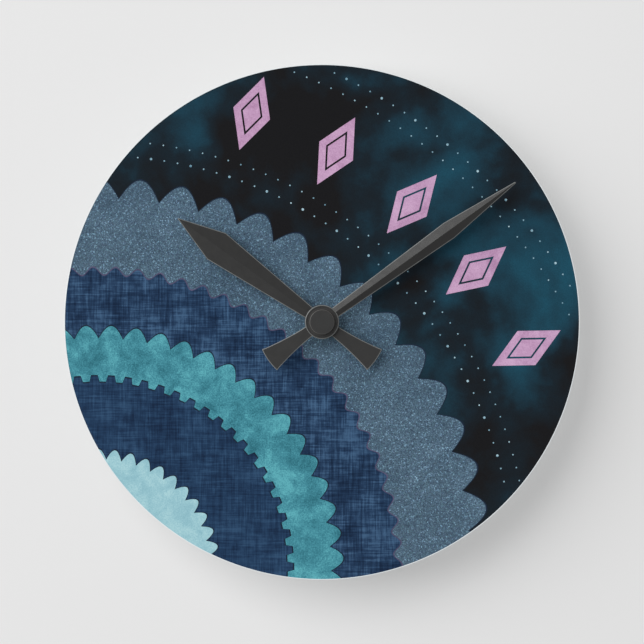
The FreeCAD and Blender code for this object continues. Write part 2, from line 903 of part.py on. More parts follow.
def rear_shell():
    shell = rounded_slab(-case_half_width, case_half_width, case_bottom, case_top, 0, parting,
                         case_corner)
    hollow = bevelled_slab(-inside_half_width, inside_half_width, case_bottom + case_wall,
                           case_top - case_wall, case_wall, parting + overrun,
                           case_inner_corner)
    return shell.cut(hollow)


def rear_lip():
    """The lip that stands out of the rear shell into the front one. It stops at the battery bay."""
    corner = case_inner_corner
    floor = case_bottom + case_wall
    roof = case_top - case_wall
    root = bevelled_slab(-inside_half_width, inside_half_width, floor, roof,
                         parting - case_lip_height, parting, corner)
    half = inside_half_width - fit_clearance
    tip = bevelled_slab(-half, half, floor + fit_clearance, roof - fit_clearance,
                        parting, parting + case_lip_height, corner)
    half = inside_half_width - case_lip
    inner = bevelled_slab(-half, half, floor + case_lip, roof - case_lip,
                          parting - case_lip_height - overrun, parting + case_lip_height + overrun,
                          corner - case_lip)
    bay = slab(-case_half_width, case_half_width, case_bottom, -train_drop, 0, case_depth)
    return root.fuse(tip).cut([inner, bay]).removeSplitter()


def case_rear():
    bay_top = -train_drop - bay_wall
    inner_half = battery_length / 2 + contact_sheet
    cup_radius = knob_radius + knob_cup_clearance
    cup_front = knob_gap + knob_thickness + knob_gap + knob_cup_floor
    pieces = [
        rear_lip(),
        slab(-inner_half, inner_half, bay_top, bay_top + bay_wall, case_wall / 2, parting),
        spindle(setting, cup_radius + knob_cup_wall, case_wall / 2, cup_front),
    ]
    for place in (centre, intermediate, rotor, third):
        pieces.append(prism(place, pivot_boss_radius, case_wall / 2, boss_front))
    for place in board_posts():
        pieces.append(prism(place, post_foot_radius, case_wall / 2, board_back))
    for place in bridge_posts():
        pieces.append(prism(place, post_radius, case_wall / 2, bridge_back))
        pieces.append(prism(place, post_pin_radius, bridge_back, bridge_front))
    for place in motor_posts():
        pieces.append(prism(place, post_radius, case_wall / 2, stator_back))
        pieces.append(prism(place, post_pin_radius, stator_back, core_front))
    for side, height in clip_places():
        outer = side * (case_half_width + clip_thickness)
        left = min(outer, side * case_half_width)
        right = max(outer, side * case_half_width)
        clip = slab(left, right, height - clip_width / 2, height + clip_width / 2,
                    parting - clip_reach, parting + clip_reach)
        window = slab(left - overrun, right + overrun, height - clip_window_width / 2,
                      height + clip_window_width / 2,
                      parting + clip_reach / 2 - clip_window_height / 2,
                      parting + clip_reach / 2 + clip_window_height / 2)
        pieces.append(clip.cut(window))
    shell = rear_shell().fuse(pieces).removeSplitter()
    bay_bottom = battery_z - battery_radius - bay_gap
    bay_half = battery_length / 2 + contact_gap
    holes = [
        slab(-bay_half, bay_half, bay_bottom, bay_top, -overrun, case_wall + overrun),
        rod(setting, cup_radius, -overrun, cup_front - knob_cup_floor),
        rod(setting, setting_shaft_radius + running_clearance, 0, cup_front + overrun),
        slab(-hanger_tongue_half_width - fit_clearance, hanger_tongue_half_width + fit_clearance,
             case_top - case_wall - overrun, case_top + overrun, -overrun,
             hanger_thickness + fit_clearance),
    ]
    for place in (centre, intermediate, rotor, third):
        holes.append(spindle(place, pivot_radius + pivot_clearance, pivot_back - pivot_clearance,
                             boss_front + overrun))
    # Thumb scoop beside the bay
    holes.append(plate([
        (-scoop_half_width, bay_top - bay_gap),
        (scoop_half_width, bay_top - bay_gap),
        (scoop_half_width / 2, bay_top + scoop_rise),
        (-scoop_half_width / 2, bay_top + scoop_rise),
    ], -overrun, scoop_depth))
    return shell.cut(holes)


def hanger_loop():
    seat = case_top
    crown = seat + hanger_rise
    body = plate([
        (-hanger_half_width, seat),
        (hanger_half_width, seat),
        (hanger_crown_radius, crown),
        (-hanger_crown_radius, crown),
    ], 0, hanger_thickness)
    body = body.fuse([
        rod((0, crown), hanger_crown_radius, 0, hanger_thickness),
        slab(-hanger_tongue_half_width, hanger_tongue_half_width, case_top - case_wall, seat,
             0, hanger_thickness),
    ]).removeSplitter()
    top = crown + hanger_slot_rise
    slot = slab(-hanger_slot_width / 2, hanger_slot_width / 2, crown, top, -overrun,
                hanger_thickness + overrun)
    cuts = [
        rod((0, crown), hanger_hole_radius, -overrun, hanger_thickness + overrun),
        slot,
        rod((0, top), hanger_slot_width / 2, -overrun, hanger_thickness + overrun),
    ]
    return body.cut(cuts)


# Setting knob

def setting_shaft():
    back = knob_gap + knob_thickness
    shaft = rod(setting, setting_shaft_radius, back, motion_wheel_back)
    pinion = toothed(setting, setting_mesh["pinion"], setting_pinion_phase,
                     motion_wheel_back - pinion_overlap, motion_wheel_front + pinion_overlap)
    end = motion_wheel_front + pinion_overlap
    pivot = spindle(setting, setting_pivot_radius, end, end + setting_pivot_length)
    return shaft.fuse([pinion, pivot])


def setting_knob():
    points = []
    for flute in range(knob_flutes):
        turn = flute * 360 / knob_flutes
        quarter = 90 / knob_flutes
        points.append(polar(setting, knob_radius, turn - quarter))
        points.append(polar(setting, knob_radius, turn + quarter))
        points.append(polar(setting, knob_radius - knob_flute_depth, turn + quarter + quarter))
    return plate(points, knob_gap, knob_gap + knob_thickness)


nodes = {
    "face_disc": face_disc,
    "rubber_washer": rubber_washer,
    "brass_washer": brass_washer,
    "hex_nut": hex_nut,
    "threaded_bush": threaded_bush,
    "hour_hand": hour_hand,
    "hour_hand_collet": hour_hand_collet,
    "minute_hand": minute_hand,
    "minute_hand_collet": minute_hand_collet,
    "cap_nut": cap_nut,
    "minute_arbor": minute_arbor,
    "hour_wheel": hour_wheel,
    "motion_wheel": motion_wheel,
    "clutch_spring": clutch_spring,
    "rotor_pinion": rotor_pinion,
    "rotor_magnet": rotor_magnet,
    "intermediate_wheel": intermediate_wheel,
    "third_wheel": third_wheel,
    "seconds_wheel": seconds_wheel,
    "seconds_arbor": seconds_arbor,
    "centre_wheel": centre_wheel,
    "gear_bridge": gear_bridge,
    "stator_plate": stator_plate,
    "coil_core": coil_core,
    "coil_bobbin": coil_bobbin,
    "coil_winding": coil_winding,
    "circuit_board": circuit_board,
    "circuit_chip": chip,
    "quartz_crystal": quartz_crystal,
    "battery": battery,
    "battery_cap": battery_cap,
    "battery_contact_negative": battery_contact_negative,
    "battery_contact_positive": battery_contact_positive,
    "case_front": case_front,
    "case_rear": case_rear,
    "hanger_loop": hanger_loop,
    "setting_shaft": setting_shaft,
    "setting_knob": setting_knob,
}

os.makedirs("parts", exist_ok=True)
for name, make in nodes.items():
    shape = make()
    print(name, len(shape.Solids), shape.isValid(), round(shape.Volume))
    shape.exportStep("parts/" + name + ".step")
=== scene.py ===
import math

import bmesh
import bpy
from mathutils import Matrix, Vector


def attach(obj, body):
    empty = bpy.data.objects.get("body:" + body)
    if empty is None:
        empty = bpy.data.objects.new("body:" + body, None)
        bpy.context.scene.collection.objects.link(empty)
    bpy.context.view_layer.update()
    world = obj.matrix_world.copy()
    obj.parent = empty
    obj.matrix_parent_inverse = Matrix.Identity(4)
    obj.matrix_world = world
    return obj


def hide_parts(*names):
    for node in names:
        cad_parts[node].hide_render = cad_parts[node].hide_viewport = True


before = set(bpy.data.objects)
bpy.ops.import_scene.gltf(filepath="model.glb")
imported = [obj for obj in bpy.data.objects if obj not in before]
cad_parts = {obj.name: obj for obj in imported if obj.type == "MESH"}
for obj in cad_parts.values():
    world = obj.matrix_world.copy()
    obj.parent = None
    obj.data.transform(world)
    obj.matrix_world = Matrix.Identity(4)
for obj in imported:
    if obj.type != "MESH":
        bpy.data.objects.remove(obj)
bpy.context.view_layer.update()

MM = 0.001

# Sizes of the solids that the pieces here stand for, in millimetres. Depths count forward
# from the wall, and a centre is (x, z).
DIAL_RADIUS = 101.6
DIAL_BACK = 17.3
DIAL_FRONT = 22.1
STUD_HOLE = 4.1

HAND_SHEET = 0.4
HAND_BOSS = 6.7
TAIL_RADIUS = 25.9
# Half widths of a blade at its root, and of a tail at its root, middle and end
HAND_ROOT = 1.93
TAIL_ROOT = 2.25
TAIL_MIDDLE = 3.25
TAIL_END = 5.1
# The slope is a blade's fall per millimetre beside its ridge. Degrees run clockwise from 12.
HOUR_HAND = {"length": 69.7, "widest_at": 51.1, "half_width": 6.3, "slope": 0.2,
             "front": 27.1, "bore": 3.6, "degrees": -54.3}
MINUTE_HAND = {"length": 93.7, "widest_at": 61.5, "half_width": 3.6, "slope": 0.3,
               "front": 29.3, "bore": 1.5, "degrees": 54.2}

CAP_RADIUS = 4.9
CAP_BACK = 29.3
CAP_FRONT = 31.6
CAP_CROWN = 0.8
CAP_BORE = 1.5

STUD_RADIUS = 4.0
STUD_BORE = 2.58
STUD_BACK = 15.1
STUD_FRONT = 25.3
COLLAR_RADIUS = 5.2
COLLAR_HEIGHT = 0.7

KNOB_CENTRE = (3.13, 17.77)
KNOB_RADIUS = 6.0
KNOB_BACK = 0.4
KNOB_FRONT = 2.6

# The battery lies along x. Its centre is (depth, z).
BATTERY_CENTRE = (7.6, -19.3)
BATTERY_RADIUS = 7.1
BATTERY_HALF_LENGTH = 25.25
BATTERY_CAP_RADIUS = 2.75
BATTERY_CAP_LENGTH = 1.3

# Fine details that only these pieces have, in millimetres
DIAL_BEVEL = 0.4
DIAL_BEVEL_MIDDLE = 0.12
DIAL_EASE = 0.08
HOLE_BEVEL = 0.15
PRINT_RADIUS = 101.26
PRINT_DEPTH = 0.2
HAND_EDGE = 0.28
HAND_EDGE_DROP = 0.1
HAND_BELOW_BOSS = 0.12
HAND_UNDER_BOSS = 1.2
TAIL_CORNER = 0.55
TIP_LENGTH = 0.6
TIP_HALF_WIDTH = 0.36
CAP_EASE = 0.1
THREAD_PITCH = 0.75
THREAD_DEPTH = 0.36
COLLAR_HOLE = 3.3
KNOB_FLUTES = 20
KNOB_FLUTE_DEPTH = 0.4
KNOB_EASE = 0.2
KNOB_DISH = 0.6
SHAFT_RADIUS = 1.75


# Materials

# Noise lies mostly between these levels
NOISE_LOW = 0.3
NOISE_HIGH = 0.7
# How far the gloss of a surface wanders, as shares of its roughness, and the size of the
# patches in which it does, as a share of the mottle's
GLOSS_LOW = 0.88
GLOSS_HIGH = 1.12
GLOSS_SIZE = 0.37
COAT_ROUGHNESS = 0.05
# The distance after which Blender's wave texture repeats at a scale of 1
WAVE_REPEAT = 0.314
# The mix node's sockets for a share and two colours, and for the colour that it gives
MIX_INPUTS = (0, 6, 7)
MIX_OUTPUT = 2


def srgb(red, green, blue):
    """A colour as it looks on screen, 0 to 255, as the linear values that shaders take."""
    linear = []
    for value in (red, green, blue):
        share = value / 255
        linear.append(share / 12.92 if share <= 0.04045 else ((share + 0.055) / 1.055) ** 2.4)
    return tuple(linear) + (1.0,)


def grey(level):
    """A grey of linear values, mostly to multiply another colour by."""
    return (level, level, level, 1.0)


class Finish:
    """A node material under construction. Patterns are in object space, sized in millimetres."""

    def __init__(self, name, roughness, specular=0.5, metallic=0.0, coat=0.0):
        self.material = bpy.data.materials.new(name)
        self.material.use_nodes = True
        self.nodes = self.material.node_tree.nodes
        self.links = self.material.node_tree.links
        self.shader = self.nodes["Principled BSDF"]
        self.place = self.nodes.new("ShaderNodeTexCoord").outputs["Object"]
        self.fill(self.shader, {
            "Roughness": roughness,
            "Specular IOR Level": specular,
            "Metallic": metallic,
            "Coat Weight": coat,
            "Coat Roughness": COAT_ROUGHNESS,
        })

    def fill(self, node, inputs):
        """Gives a node's inputs their values, or links them to other nodes' outputs."""
        for name, value in inputs.items():
            if isinstance(value, bpy.types.NodeSocket):
                self.links.new(value, node.inputs[name])
            else:
                node.inputs[name].default_value = value

    def add(self, kind, inputs):
        """A new node with its inputs filled."""
        node = self.nodes.new(kind)
        self.fill(node, inputs)
        return node

    def noise(self, size, detail=2.0, roughness=0.5, stretch=None, distortion=0.0):
        """Noise whose grains are about size millimetres across."""
        place = self.place
        if stretch:
            place = self.add("ShaderNodeMapping", {"Vector": place, "Scale": stretch}).outputs["Vector"]
        node = self.add("ShaderNodeTexNoise", {
            "Vector": place,
            "Scale": 1 / (size * MM),
            "Detail": detail,
            "Roughness": roughness,
            "Distortion": distortion,
        })
        return node.outputs["Fac"]

    def cells(self, size):
        """Cells about size millimetres across, each with a random colour."""
        node = self.add("ShaderNodeTexVoronoi", {"Vector": self.place, "Scale": 1 / (size * MM)})
        return node.outputs["Color"]

    def wave(self, size, direction, distortion):
        """Bands that repeat every size millimetres."""
        node = self.add("ShaderNodeTexWave", {
            "Vector": self.place,
            "Scale": WAVE_REPEAT / (size * MM),
            "Distortion": distortion,
        })
        node.bands_direction = direction
        return node.outputs["Fac"]

    def level(self, value, low, high, to_low, to_high):
        """A value taken from one range to another."""
        node = self.add("ShaderNodeMapRange", {
            "Value": value,
            "From Min": low,
            "From Max": high,
            "To Min": to_low,
            "To Max": to_high,
        })
        return node.outputs["Result"]

    def calculate(self, operation, first, second):
        """A sum or product of two values."""
        node = self.add("ShaderNodeMath", {0: first, 1: second})
        node.operation = operation
        return node.outputs["Value"]

    def weighted(self, first, second, share):
        """The first value times a share, plus the second times the rest."""
        return self.calculate("ADD", self.calculate("MULTIPLY", first, share),
                              self.calculate("MULTIPLY", second, 1 - share))

    def ramp(self, value, *stops):
        """Colours along a value. Each stop is (position, colour)."""
        node = self.add("ShaderNodeValToRGB", {"Fac": value})
        elements = node.color_ramp.elements
        while len(elements) < len(stops):
            elements.new(0.5)
        for element, (position, colour) in zip(elements, stops):
            element.position = position
            element.color = colour
        return node.outputs["Color"]

    def tones(self, value, spread, *colours):
        """Three colours as they look on screen, about the middle of a value."""
        positions = (0.5 - spread, 0.5, 0.5 + spread)
        return self.ramp(value, *[(place, srgb(*colour)) for place, colour in zip(positions, colours)])

    def mix(self, share, first, second, blend="MIX"):
        """Two colours mixed by a share."""
        node = self.nodes.new("ShaderNodeMix")
        node.data_type = "RGBA"
        node.blend_type = blend
        self.fill(node, dict(zip(MIX_INPUTS, (share, first, second))))
        return node.outputs[MIX_OUTPUT]

    def times(self, first, second):
        """Two colours multiplied."""
        return self.mix(1.0, first, second, "MULTIPLY")

    def colour(self, value):
        """The surface's own colour."""
        self.links.new(value, self.shader.inputs["Base Color"])
        return self

    def rough(self, value):
        """The surface's roughness, place by place."""
        self.links.new(value, self.shader.inputs["Roughness"])

    def bump(self, value, height):
        """Relief of some height in millimetres."""
        node = self.add("ShaderNodeBump", {"Height": value, "Strength": 1.0, "Distance": height * MM})
        self.links.new(node.outputs["Normal"], self.shader.inputs["Normal"])
        return self


def plain(name, dark, light, size, roughness, specular=0.5, metallic=0.0, bump=0.0, grain=0.0,
          coat=0.0):
    """A surface with a soft mottle between two close colours, fine grain and uneven gloss."""
    finish = Finish(name, roughness, specular, metallic, coat)
    mottle = finish.noise(size, detail=4.0, roughness=0.6)
    finish.colour(finish.ramp(mottle, (NOISE_LOW, srgb(*dark)), (NOISE_HIGH, srgb(*light))))
    gloss = finish.noise(size * GLOSS_SIZE, detail=3.0)
    finish.rough(finish.level(gloss, NOISE_LOW, NOISE_HIGH, roughness * GLOSS_LOW, roughness * GLOSS_HIGH))
    if bump:
        finish.bump(finish.noise(grain), bump)
    return finish


def turned(name, dark, light, roughness, stretch=None, line=0.25):
    """Metal with fine tool lines, drawn out along the axis whose stretch is small."""
    finish = Finish(name, roughness, metallic=1.0)
    lines = finish.noise(line, roughness=0.6, stretch=stretch)
    mottle = finish.noise(3.0, detail=3.0)
    base = finish.ramp(mottle, (NOISE_LOW, srgb(*dark)), (NOISE_HIGH, srgb(*light)))
    shade = finish.ramp(lines, (0.35, grey(0.82)), (0.65, grey(1.0)))
    return finish.colour(finish.times(base, shade)).bump(lines, 0.01)


def night_print():
    """The print's dark ground, with clouds of dull blue."""
    finish = Finish("print_night", 0.6, 0.04)
    cloud = finish.noise(62.0, detail=3.5, roughness=0.55, distortion=0.6)
    wisp = finish.noise(17.0, detail=4.0, roughness=0.6)
    base = finish.ramp(finish.weighted(cloud, wisp, 0.78), (0.42, srgb(26, 26, 28)),
                       (0.50, srgb(26, 37, 45)), (0.58, srgb(29, 60, 75)), (0.68, srgb(31, 79, 98)))
    grain = finish.ramp(finish.noise(0.5, detail=1.0), (NOISE_LOW, grey(0.88)), (NOISE_HIGH, grey(1.1)))
    return finish.colour(finish.times(base, grain))


def glitter_print():
    """Small flecks of many brightnesses, a few of them bright, over a mottled blue."""
    finish = Finish("print_glitter", 0.5, 0.08)
    shade = finish.noise(30.0, detail=4.0, roughness=0.6, distortion=0.8)
    base = finish.ramp(shade, (0.32, srgb(69, 91, 109)), (0.5, srgb(78, 101, 119)),
                       (0.7, srgb(88, 112, 131)))
    flecks = finish.cells(0.33)
    shine = finish.ramp(flecks, (0.1, (0.5, 0.52, 0.55, 1)), (0.36, (0.85, 0.86, 0.88, 1)),
                        (0.6, grey(1.12)), (0.85, grey(1.6)))
    bright = finish.ramp(finish.cells(0.4), (0.75, grey(0.97)), (0.85, (2.3, 2.25, 2.2, 1)))
    hue = finish.mix(0.12, grey(1.0), flecks)
    for tint in (shine, bright, hue):
        base = finish.times(base, tint)
    return finish.colour(base).bump(flecks, 0.01)


def woven_print(name, dark, middle, light, contrast=1.0):
    """Threads both ways, over patches."""
    finish = Finish(name, 0.6, 0.06)
    across = finish.noise(0.6, detail=3.0, roughness=0.7, stretch=(0.05, 1, 1))
    down = finish.noise(0.6, detail=3.0, roughness=0.7, stretch=(1, 1, 0.05))
    threads = finish.weighted(across, down, 0.5)
    patch = finish.noise(9.0, detail=5.0, roughness=0.7)
    both = finish.weighted(threads, patch, 0.62)
    return finish.colour(finish.tones(both, 0.1 / contrast, dark, middle, light)).bump(threads, 0.01)


def mottled_print(name, dark, middle, light, size):
    """A wash with patches of about size millimetres, and grain."""
    finish = Finish(name, 0.55, 0.06)
    wash = finish.noise(size, detail=5.0, roughness=0.7, distortion=0.4)
    grain = finish.noise(0.55, roughness=0.6)
    return finish.colour(finish.tones(finish.weighted(wash, grain, 0.6), 0.12, dark, middle, light))


def wound_copper():
    """Fine enamelled wire, turn beside turn."""
    finish = Finish("wire_wound", 0.3, metallic=1.0)
    turns = finish.wave(0.12, "X", 0.4)
    base = finish.ramp(turns, (0.2, srgb(120, 62, 34)), (0.8, srgb(200, 118, 72)))
    return finish.colour(base).bump(turns, 0.03)


def etched_board():
    """Green lacquer over the tracks of a circuit board."""
    finish = Finish("board_etched", 0.4)
    mask = finish.noise(1.8, stretch=(0.35, 1, 1))
    base = finish.tones(mask, 0.04, (24, 92, 52), (38, 118, 70), (24, 92, 52))
    return finish.colour(base).bump(mask, 0.02)


# The print's inks. Those with three colours have them from dark to light, as they look on screen.
NIGHT = night_print()
GLITTER = glitter_print()
LINEN = woven_print("print_linen", (19, 37, 62), (36, 60, 90), (66, 97, 130), 1.1)
TURQUOISE = mottled_print("print_turquoise", (44, 106, 120), (68, 139, 154), (96, 176, 186), 9.0)
NAVY = woven_print("print_navy", (20, 38, 64), (33, 58, 88), (50, 80, 112))
AQUA = mottled_print("print_aqua", (138, 184, 196), (152, 197, 207), (172, 212, 218), 7.0)
MAUVE = mottled_print("print_mauve", (176, 134, 170), (193, 153, 188), (208, 170, 203), 8.0)
DEEP = mottled_print("print_deep", (24, 34, 50), (28, 40, 58), (34, 48, 66), 6.0)
DOTS = mottled_print("print_dots", (92, 132, 152), (132, 168, 184), (180, 208, 218), 4.0)
DUSK = mottled_print("print_dusk", (70, 68, 94), (82, 79, 106), (96, 91, 120), 5.0)
# The print's list of finishes
PRINT = [NIGHT, GLITTER, LINEN, TURQUOISE, NAVY, AQUA, MAUVE, DEEP, DOTS, DUSK]

# Each has a dark and a light colour on screen, the size of its mottle and its roughness, and some
# have a specular level after that
ACRYLIC = plain("acrylic_back", (209, 212, 212), (217, 219, 219), 40.0, 0.36, 0.4, bump=0.004, grain=0.6)
# The rim is paler than the sheet, a painted highlight along the dial's edge.
ACRYLIC_RIM_HIGHLIGHT = plain("acrylic_rim_painted_highlight", (224, 231, 234), (236, 240, 242), 16.0, 0.16)
HAND = plain("hand_black", (29, 29, 29), (35, 35, 34), 9.0, 0.40, bump=0.006, grain=0.35)
# The boss is a lighter grey than the blade, painted light against the shade that the cap casts on it.
BOSS_PAINTED_LIGHT = plain("hand_boss_painted_light", (37, 37, 36), (43, 42, 41), 9.0, 0.45, bump=0.006, grain=0.35)
# The hands' edge finish is a light grey, a painted highlight round every edge and chamfer.
HAND_EDGE_HIGHLIGHT = plain("hand_edge_painted_highlight", (98, 100, 100), (118, 120, 119), 5.0, 0.45, bump=0.004, grain=0.3)
CAP = plain("cap_black", (30, 31, 31), (36, 36, 36), 5.0, 0.42, bump=0.005, grain=0.3)
# The cap's edge is a light grey, a painted highlight round its chamfer.
CAP_EDGE_HIGHLIGHT = plain("cap_edge_painted_highlight", (72, 70, 68), (86, 84, 82), 5.0, 0.45, bump=0.004, grain=0.3)
RUBBER = plain("rubber_black", (30, 30, 30), (38, 38, 37), 4.0, 0.75, 0.3, bump=0.02, grain=0.4)
CASE = plain("case_moulded", (37, 37, 39), (43, 43, 45), 12.0, 0.5, 0.45, bump=0.03, grain=0.35)
HANGER = plain("hanger_moulded", (38, 38, 40), (44, 44, 46), 8.0, 0.48, 0.45, bump=0.03, grain=0.35)
KNOB = plain("knob_moulded", (196, 196, 192), (208, 208, 204), 6.0, 0.42, bump=0.01, grain=0.5)
CELL = plain("cell_wrap", (52, 62, 70), (60, 70, 78), 10.0, 0.28, bump=0.004, grain=0.8, coat=0.4)
WHITE_GEAR = plain("gear_white", (206, 206, 200), (220, 220, 214), 5.0, 0.45, 0.45, bump=0.01, grain=0.4)
TINTED_GEAR = plain("gear_tinted", (160, 186, 160), (176, 200, 176), 5.0, 0.45, 0.45, bump=0.01,
                    grain=0.4)
MAGNET = plain("magnet_sintered", (66, 66, 68), (84, 84, 86), 1.5, 0.45, metallic=0.6, bump=0.01,
               grain=0.2)
BOBBIN = plain("bobbin_moulded", (48, 48, 50), (56, 56, 58), 4.0, 0.5, 0.45, bump=0.02, grain=0.3)
RESIN = plain("chip_resin", (22, 22, 22), (30, 30, 30), 2.0, 0.35, bump=0.01, grain=0.2)
BRIDGE = plain("bridge_moulded", (60, 60, 62), (68, 68, 70), 6.0, 0.5, 0.45, bump=0.02, grain=0.35)

# Each has a dark and a light colour on screen and its roughness, and most have the stretch of
# their lines after that
BRASS = turned("brass_turned", (176, 141, 74), (202, 168, 98), 0.28, (1, 0.12, 1))
SPRING = turned("contact_sheet", (176, 176, 172), (204, 204, 200), 0.25, (1, 1, 0.15), 0.3)
CELL_END = turned("cell_steel", (170, 170, 168), (196, 196, 194), 0.3, line=0.4)
STEEL = turned("steel_turned", (150, 150, 150), (178, 178, 178), 0.32, (1, 0.12, 1))
IRON = turned("iron_stamped", (140, 140, 142), (164, 164, 166), 0.4, (0.15, 1, 1), 0.4)

COPPER = wound_copper()
BOARD = etched_board()


# Helpers for meshes

# Corners of an inset outline reach no further than at this cosine
MITRE_LIMIT = 0.35
# Edges of a CAD node that are sharper than this many degrees are eased
EASED_ANGLE = 35.0
EASED_PROFILE = 0.6
# Vertices this near in metres, and faces this near in degrees, count as one
SAME_PLACE = 1e-6
SAME_PLANE = 0.6


def to_world(x, depth, z):
    """A point in millimetres, with depth counted forward from the wall."""
    return Vector((x * MM, -depth * MM, z * MM))


def place_on(axis, centre, across, up, along):
    """A point beside an axis. Along is a depth for the Y axis and a place in x for the X axis."""
    if axis == "Y":
        return to_world(centre[0] + across, along, centre[1] + up)
    return to_world(along, centre[0] + across, centre[1] + up)


def add_piece(name, bm, body, finishes, nodes=(), smooth=40.0):
    """Makes an object from a bmesh, gives it its finishes and fixes it to the frame. Its edges
    look rounded where they turn by fewer degrees than smooth."""
    mesh = bpy.data.meshes.new(name)
    bm.normal_update()
    bm.to_mesh(mesh)
    bm.free()
    for finish in finishes:
        mesh.materials.append(finish.material)
    for polygon in mesh.polygons:
        polygon.use_smooth = True
    mesh.set_sharp_from_angle(angle=math.radians(smooth))
    piece = bpy.data.objects.new(name, mesh)
    bpy.context.scene.collection.objects.link(piece)
    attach(piece, body)
    if nodes:
        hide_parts(*nodes)
    return piece


def add_ring(bm, reach, along, count, centre=(0.0, 0.0), axis="Y"):
    """A ring of vertices round an axis. Its reach is a number, or a function of the turn."""
    vertices = []
    for step in range(count):
        turn = 2 * math.pi * step / count
        radius = reach(turn) if callable(reach) else reach
        across = radius * math.cos(turn)
        up = radius * math.sin(turn)
        vertices.append(bm.verts.new(place_on(axis, centre, across, up, along)))
    return vertices


def join_rings(bm, first, second, material=0):
    """Faces between two rings of as many vertices."""
    count = len(first)
    for step in range(count):
        after = (step + 1) % count
        face = bm.faces.new([first[step], first[after], second[after], second[step]])
        face.material_index = material


def lathe(bm, profile, count, centre=(0.0, 0.0), axis="Y", closed=False):
    """Turns a profile round an axis. A point of it is (radius, depth), or (radius, depth, place
    in the piece's list of finishes) for the band of faces that starts there."""
    rings = []
    materials = []
    for radius, along, *material in profile:
        if radius > 0:
            rings.append(add_ring(bm, radius, along, count, centre, axis))
        else:
            rings.append([bm.verts.new(place_on(axis, centre, 0.0, 0.0, along))])
        materials.append(material[0] if material else 0)
    following = rings[1:] + rings[:1] if closed else rings[1:]
    for first, second, material in zip(rings, following, materials):
        for step in range(count):
            after = (step + 1) % count
            if len(first) == 1:
                corners = [first[0], second[step], second[after]]
            elif len(second) == 1:
                corners = [first[step], second[0], first[after]]
            else:
                corners = [first[step], second[step], second[after], first[after]]
            bm.faces.new(corners).material_index = material


def outward(bm):
    """Turns every face outward."""
    bmesh.ops.recalc_face_normals(bm, faces=bm.faces)


def inset_outline(points, distance):
    """A closed outline moved inward by a distance. Points run anticlockwise, as (x, z)."""
    moved = []
    count = len(points)
    for index in range(count):
        before = Vector(points[index - 1])
        here = Vector(points[index])
        after = Vector(points[(index + 1) % count])
        first = (here - before).normalized()
        second = (after - here).normalized()
        first_normal = Vector((-first.y, first.x))
        second_normal = Vector((-second.y, second.x))
        middle = (first_normal + second_normal).normalized()
        stretch = distance / max(MITRE_LIMIT, middle.dot(first_normal))
        moved.append((here.x + middle.x * stretch, here.y + middle.y * stretch))
    return moved


def soften(node, body, finish, width):
    """A piece in the shape of a CAD node, with its edges eased by a width."""
    bm = bmesh.new()
    bm.from_mesh(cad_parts[node].data)
    bmesh.ops.remove_doubles(bm, verts=bm.verts, dist=SAME_PLACE)
    bmesh.ops.dissolve_limit(bm, angle_limit=math.radians(SAME_PLANE), verts=bm.verts,
                             edges=bm.edges)
    edges = [edge for edge in bm.edges
             if edge.is_manifold and edge.calc_face_angle(0.0) > math.radians(EASED_ANGLE)]
    bmesh.ops.bevel(bm, geom=edges, offset=width * MM, offset_type="OFFSET", segments=2,
                    profile=EASED_PROFILE, affect="EDGES", clamp_overlap=True)
    piece = add_piece(node + "_eased", bm, body, [finish], [node], smooth=50.0)
    normals = piece.modifiers.new("flat_faces", "WEIGHTED_NORMAL")
    normals.keep_sharp = True


# The dial

DIAL_SEGMENTS = 256


def dial_sheet():
    """The acrylic sheet: a turned disc with eased edges, a hole and a shallow seat for the print."""
    bm = bmesh.new()
    seat = DIAL_FRONT - PRINT_DEPTH
    # Place of the rim finish, paler than the sheet: a painted highlight on the edge.
    rim = 1
    profile = [
        (STUD_HOLE, seat),
        (STUD_HOLE, DIAL_BACK + HOLE_BEVEL),
        (STUD_HOLE + HOLE_BEVEL, DIAL_BACK),
        (DIAL_RADIUS - DIAL_BEVEL, DIAL_BACK, rim),
        (DIAL_RADIUS - DIAL_BEVEL_MIDDLE, DIAL_BACK + DIAL_BEVEL_MIDDLE, rim),
        (DIAL_RADIUS, DIAL_BACK + DIAL_BEVEL, rim),
        (DIAL_RADIUS, DIAL_FRONT - DIAL_EASE, rim),
        (DIAL_RADIUS - DIAL_EASE, DIAL_FRONT, rim),
        (PRINT_RADIUS, DIAL_FRONT),
        (PRINT_RADIUS, seat),
    ]
    lathe(bm, profile, DIAL_SEGMENTS, closed=True)
    outward(bm)
    add_piece("dial_sheet", bm, "clock", [ACRYLIC, ACRYLIC_RIM_HIGHLIGHT], ["face_disc"],
              smooth=30.0)


# The print is an abstract fan: bands about a point beyond the dial's lower left edge. Its parts
# lie in layers as thin as ink, in millimetres.
FAN = Vector((-88.0, -98.0))
LAYER = 0.012
GROUND_LIFT = 0.03
GROUND_THICKNESS = 0.02
GROUND_GAP = 0.02
# Rays from the fan's centre, spread evenly over its turn and over the print's rim
FAN_RAYS = 700
RIM_RAYS = 600
# Turns that are the same to so many digits count once
TURN_DIGITS = 7

# Each band has the reach of its edge from the fan's centre, the edge's rise, its lobes in a whole
# turn, its kind, and the inks of the band and of its outline
BANDS = [
    (151.7, 8.0, 58, "scallop", GLITTER, DEEP),
    (117.8, 3.2, 84, "ripple", LINEN, DUSK),
    (94.7, 5.0, 60, "scallop", TURQUOISE, DEEP),
    (75.3, 2.6, 72, "step", NAVY, DEEP),
    (46.4, 4.0, 46, "scallop", AQUA, DEEP),
]
OUTLINE_WIDTH = 0.55
SCALLOP_MEAN = 0.64
STEP_STEEPNESS = 3.0

LOZENGE_REACH = 190.0
LOZENGE_DEGREES = (27.5, 38.5, 49.5, 60.5, 71.5)
# Half width, half length and ink of a lozenge's layers, from the lowest up
LOZENGE_LAYERS = [(7.6, 15.2, MAUVE), (4.5, 9.0, NIGHT), (3.7, 7.4, MAUVE)]

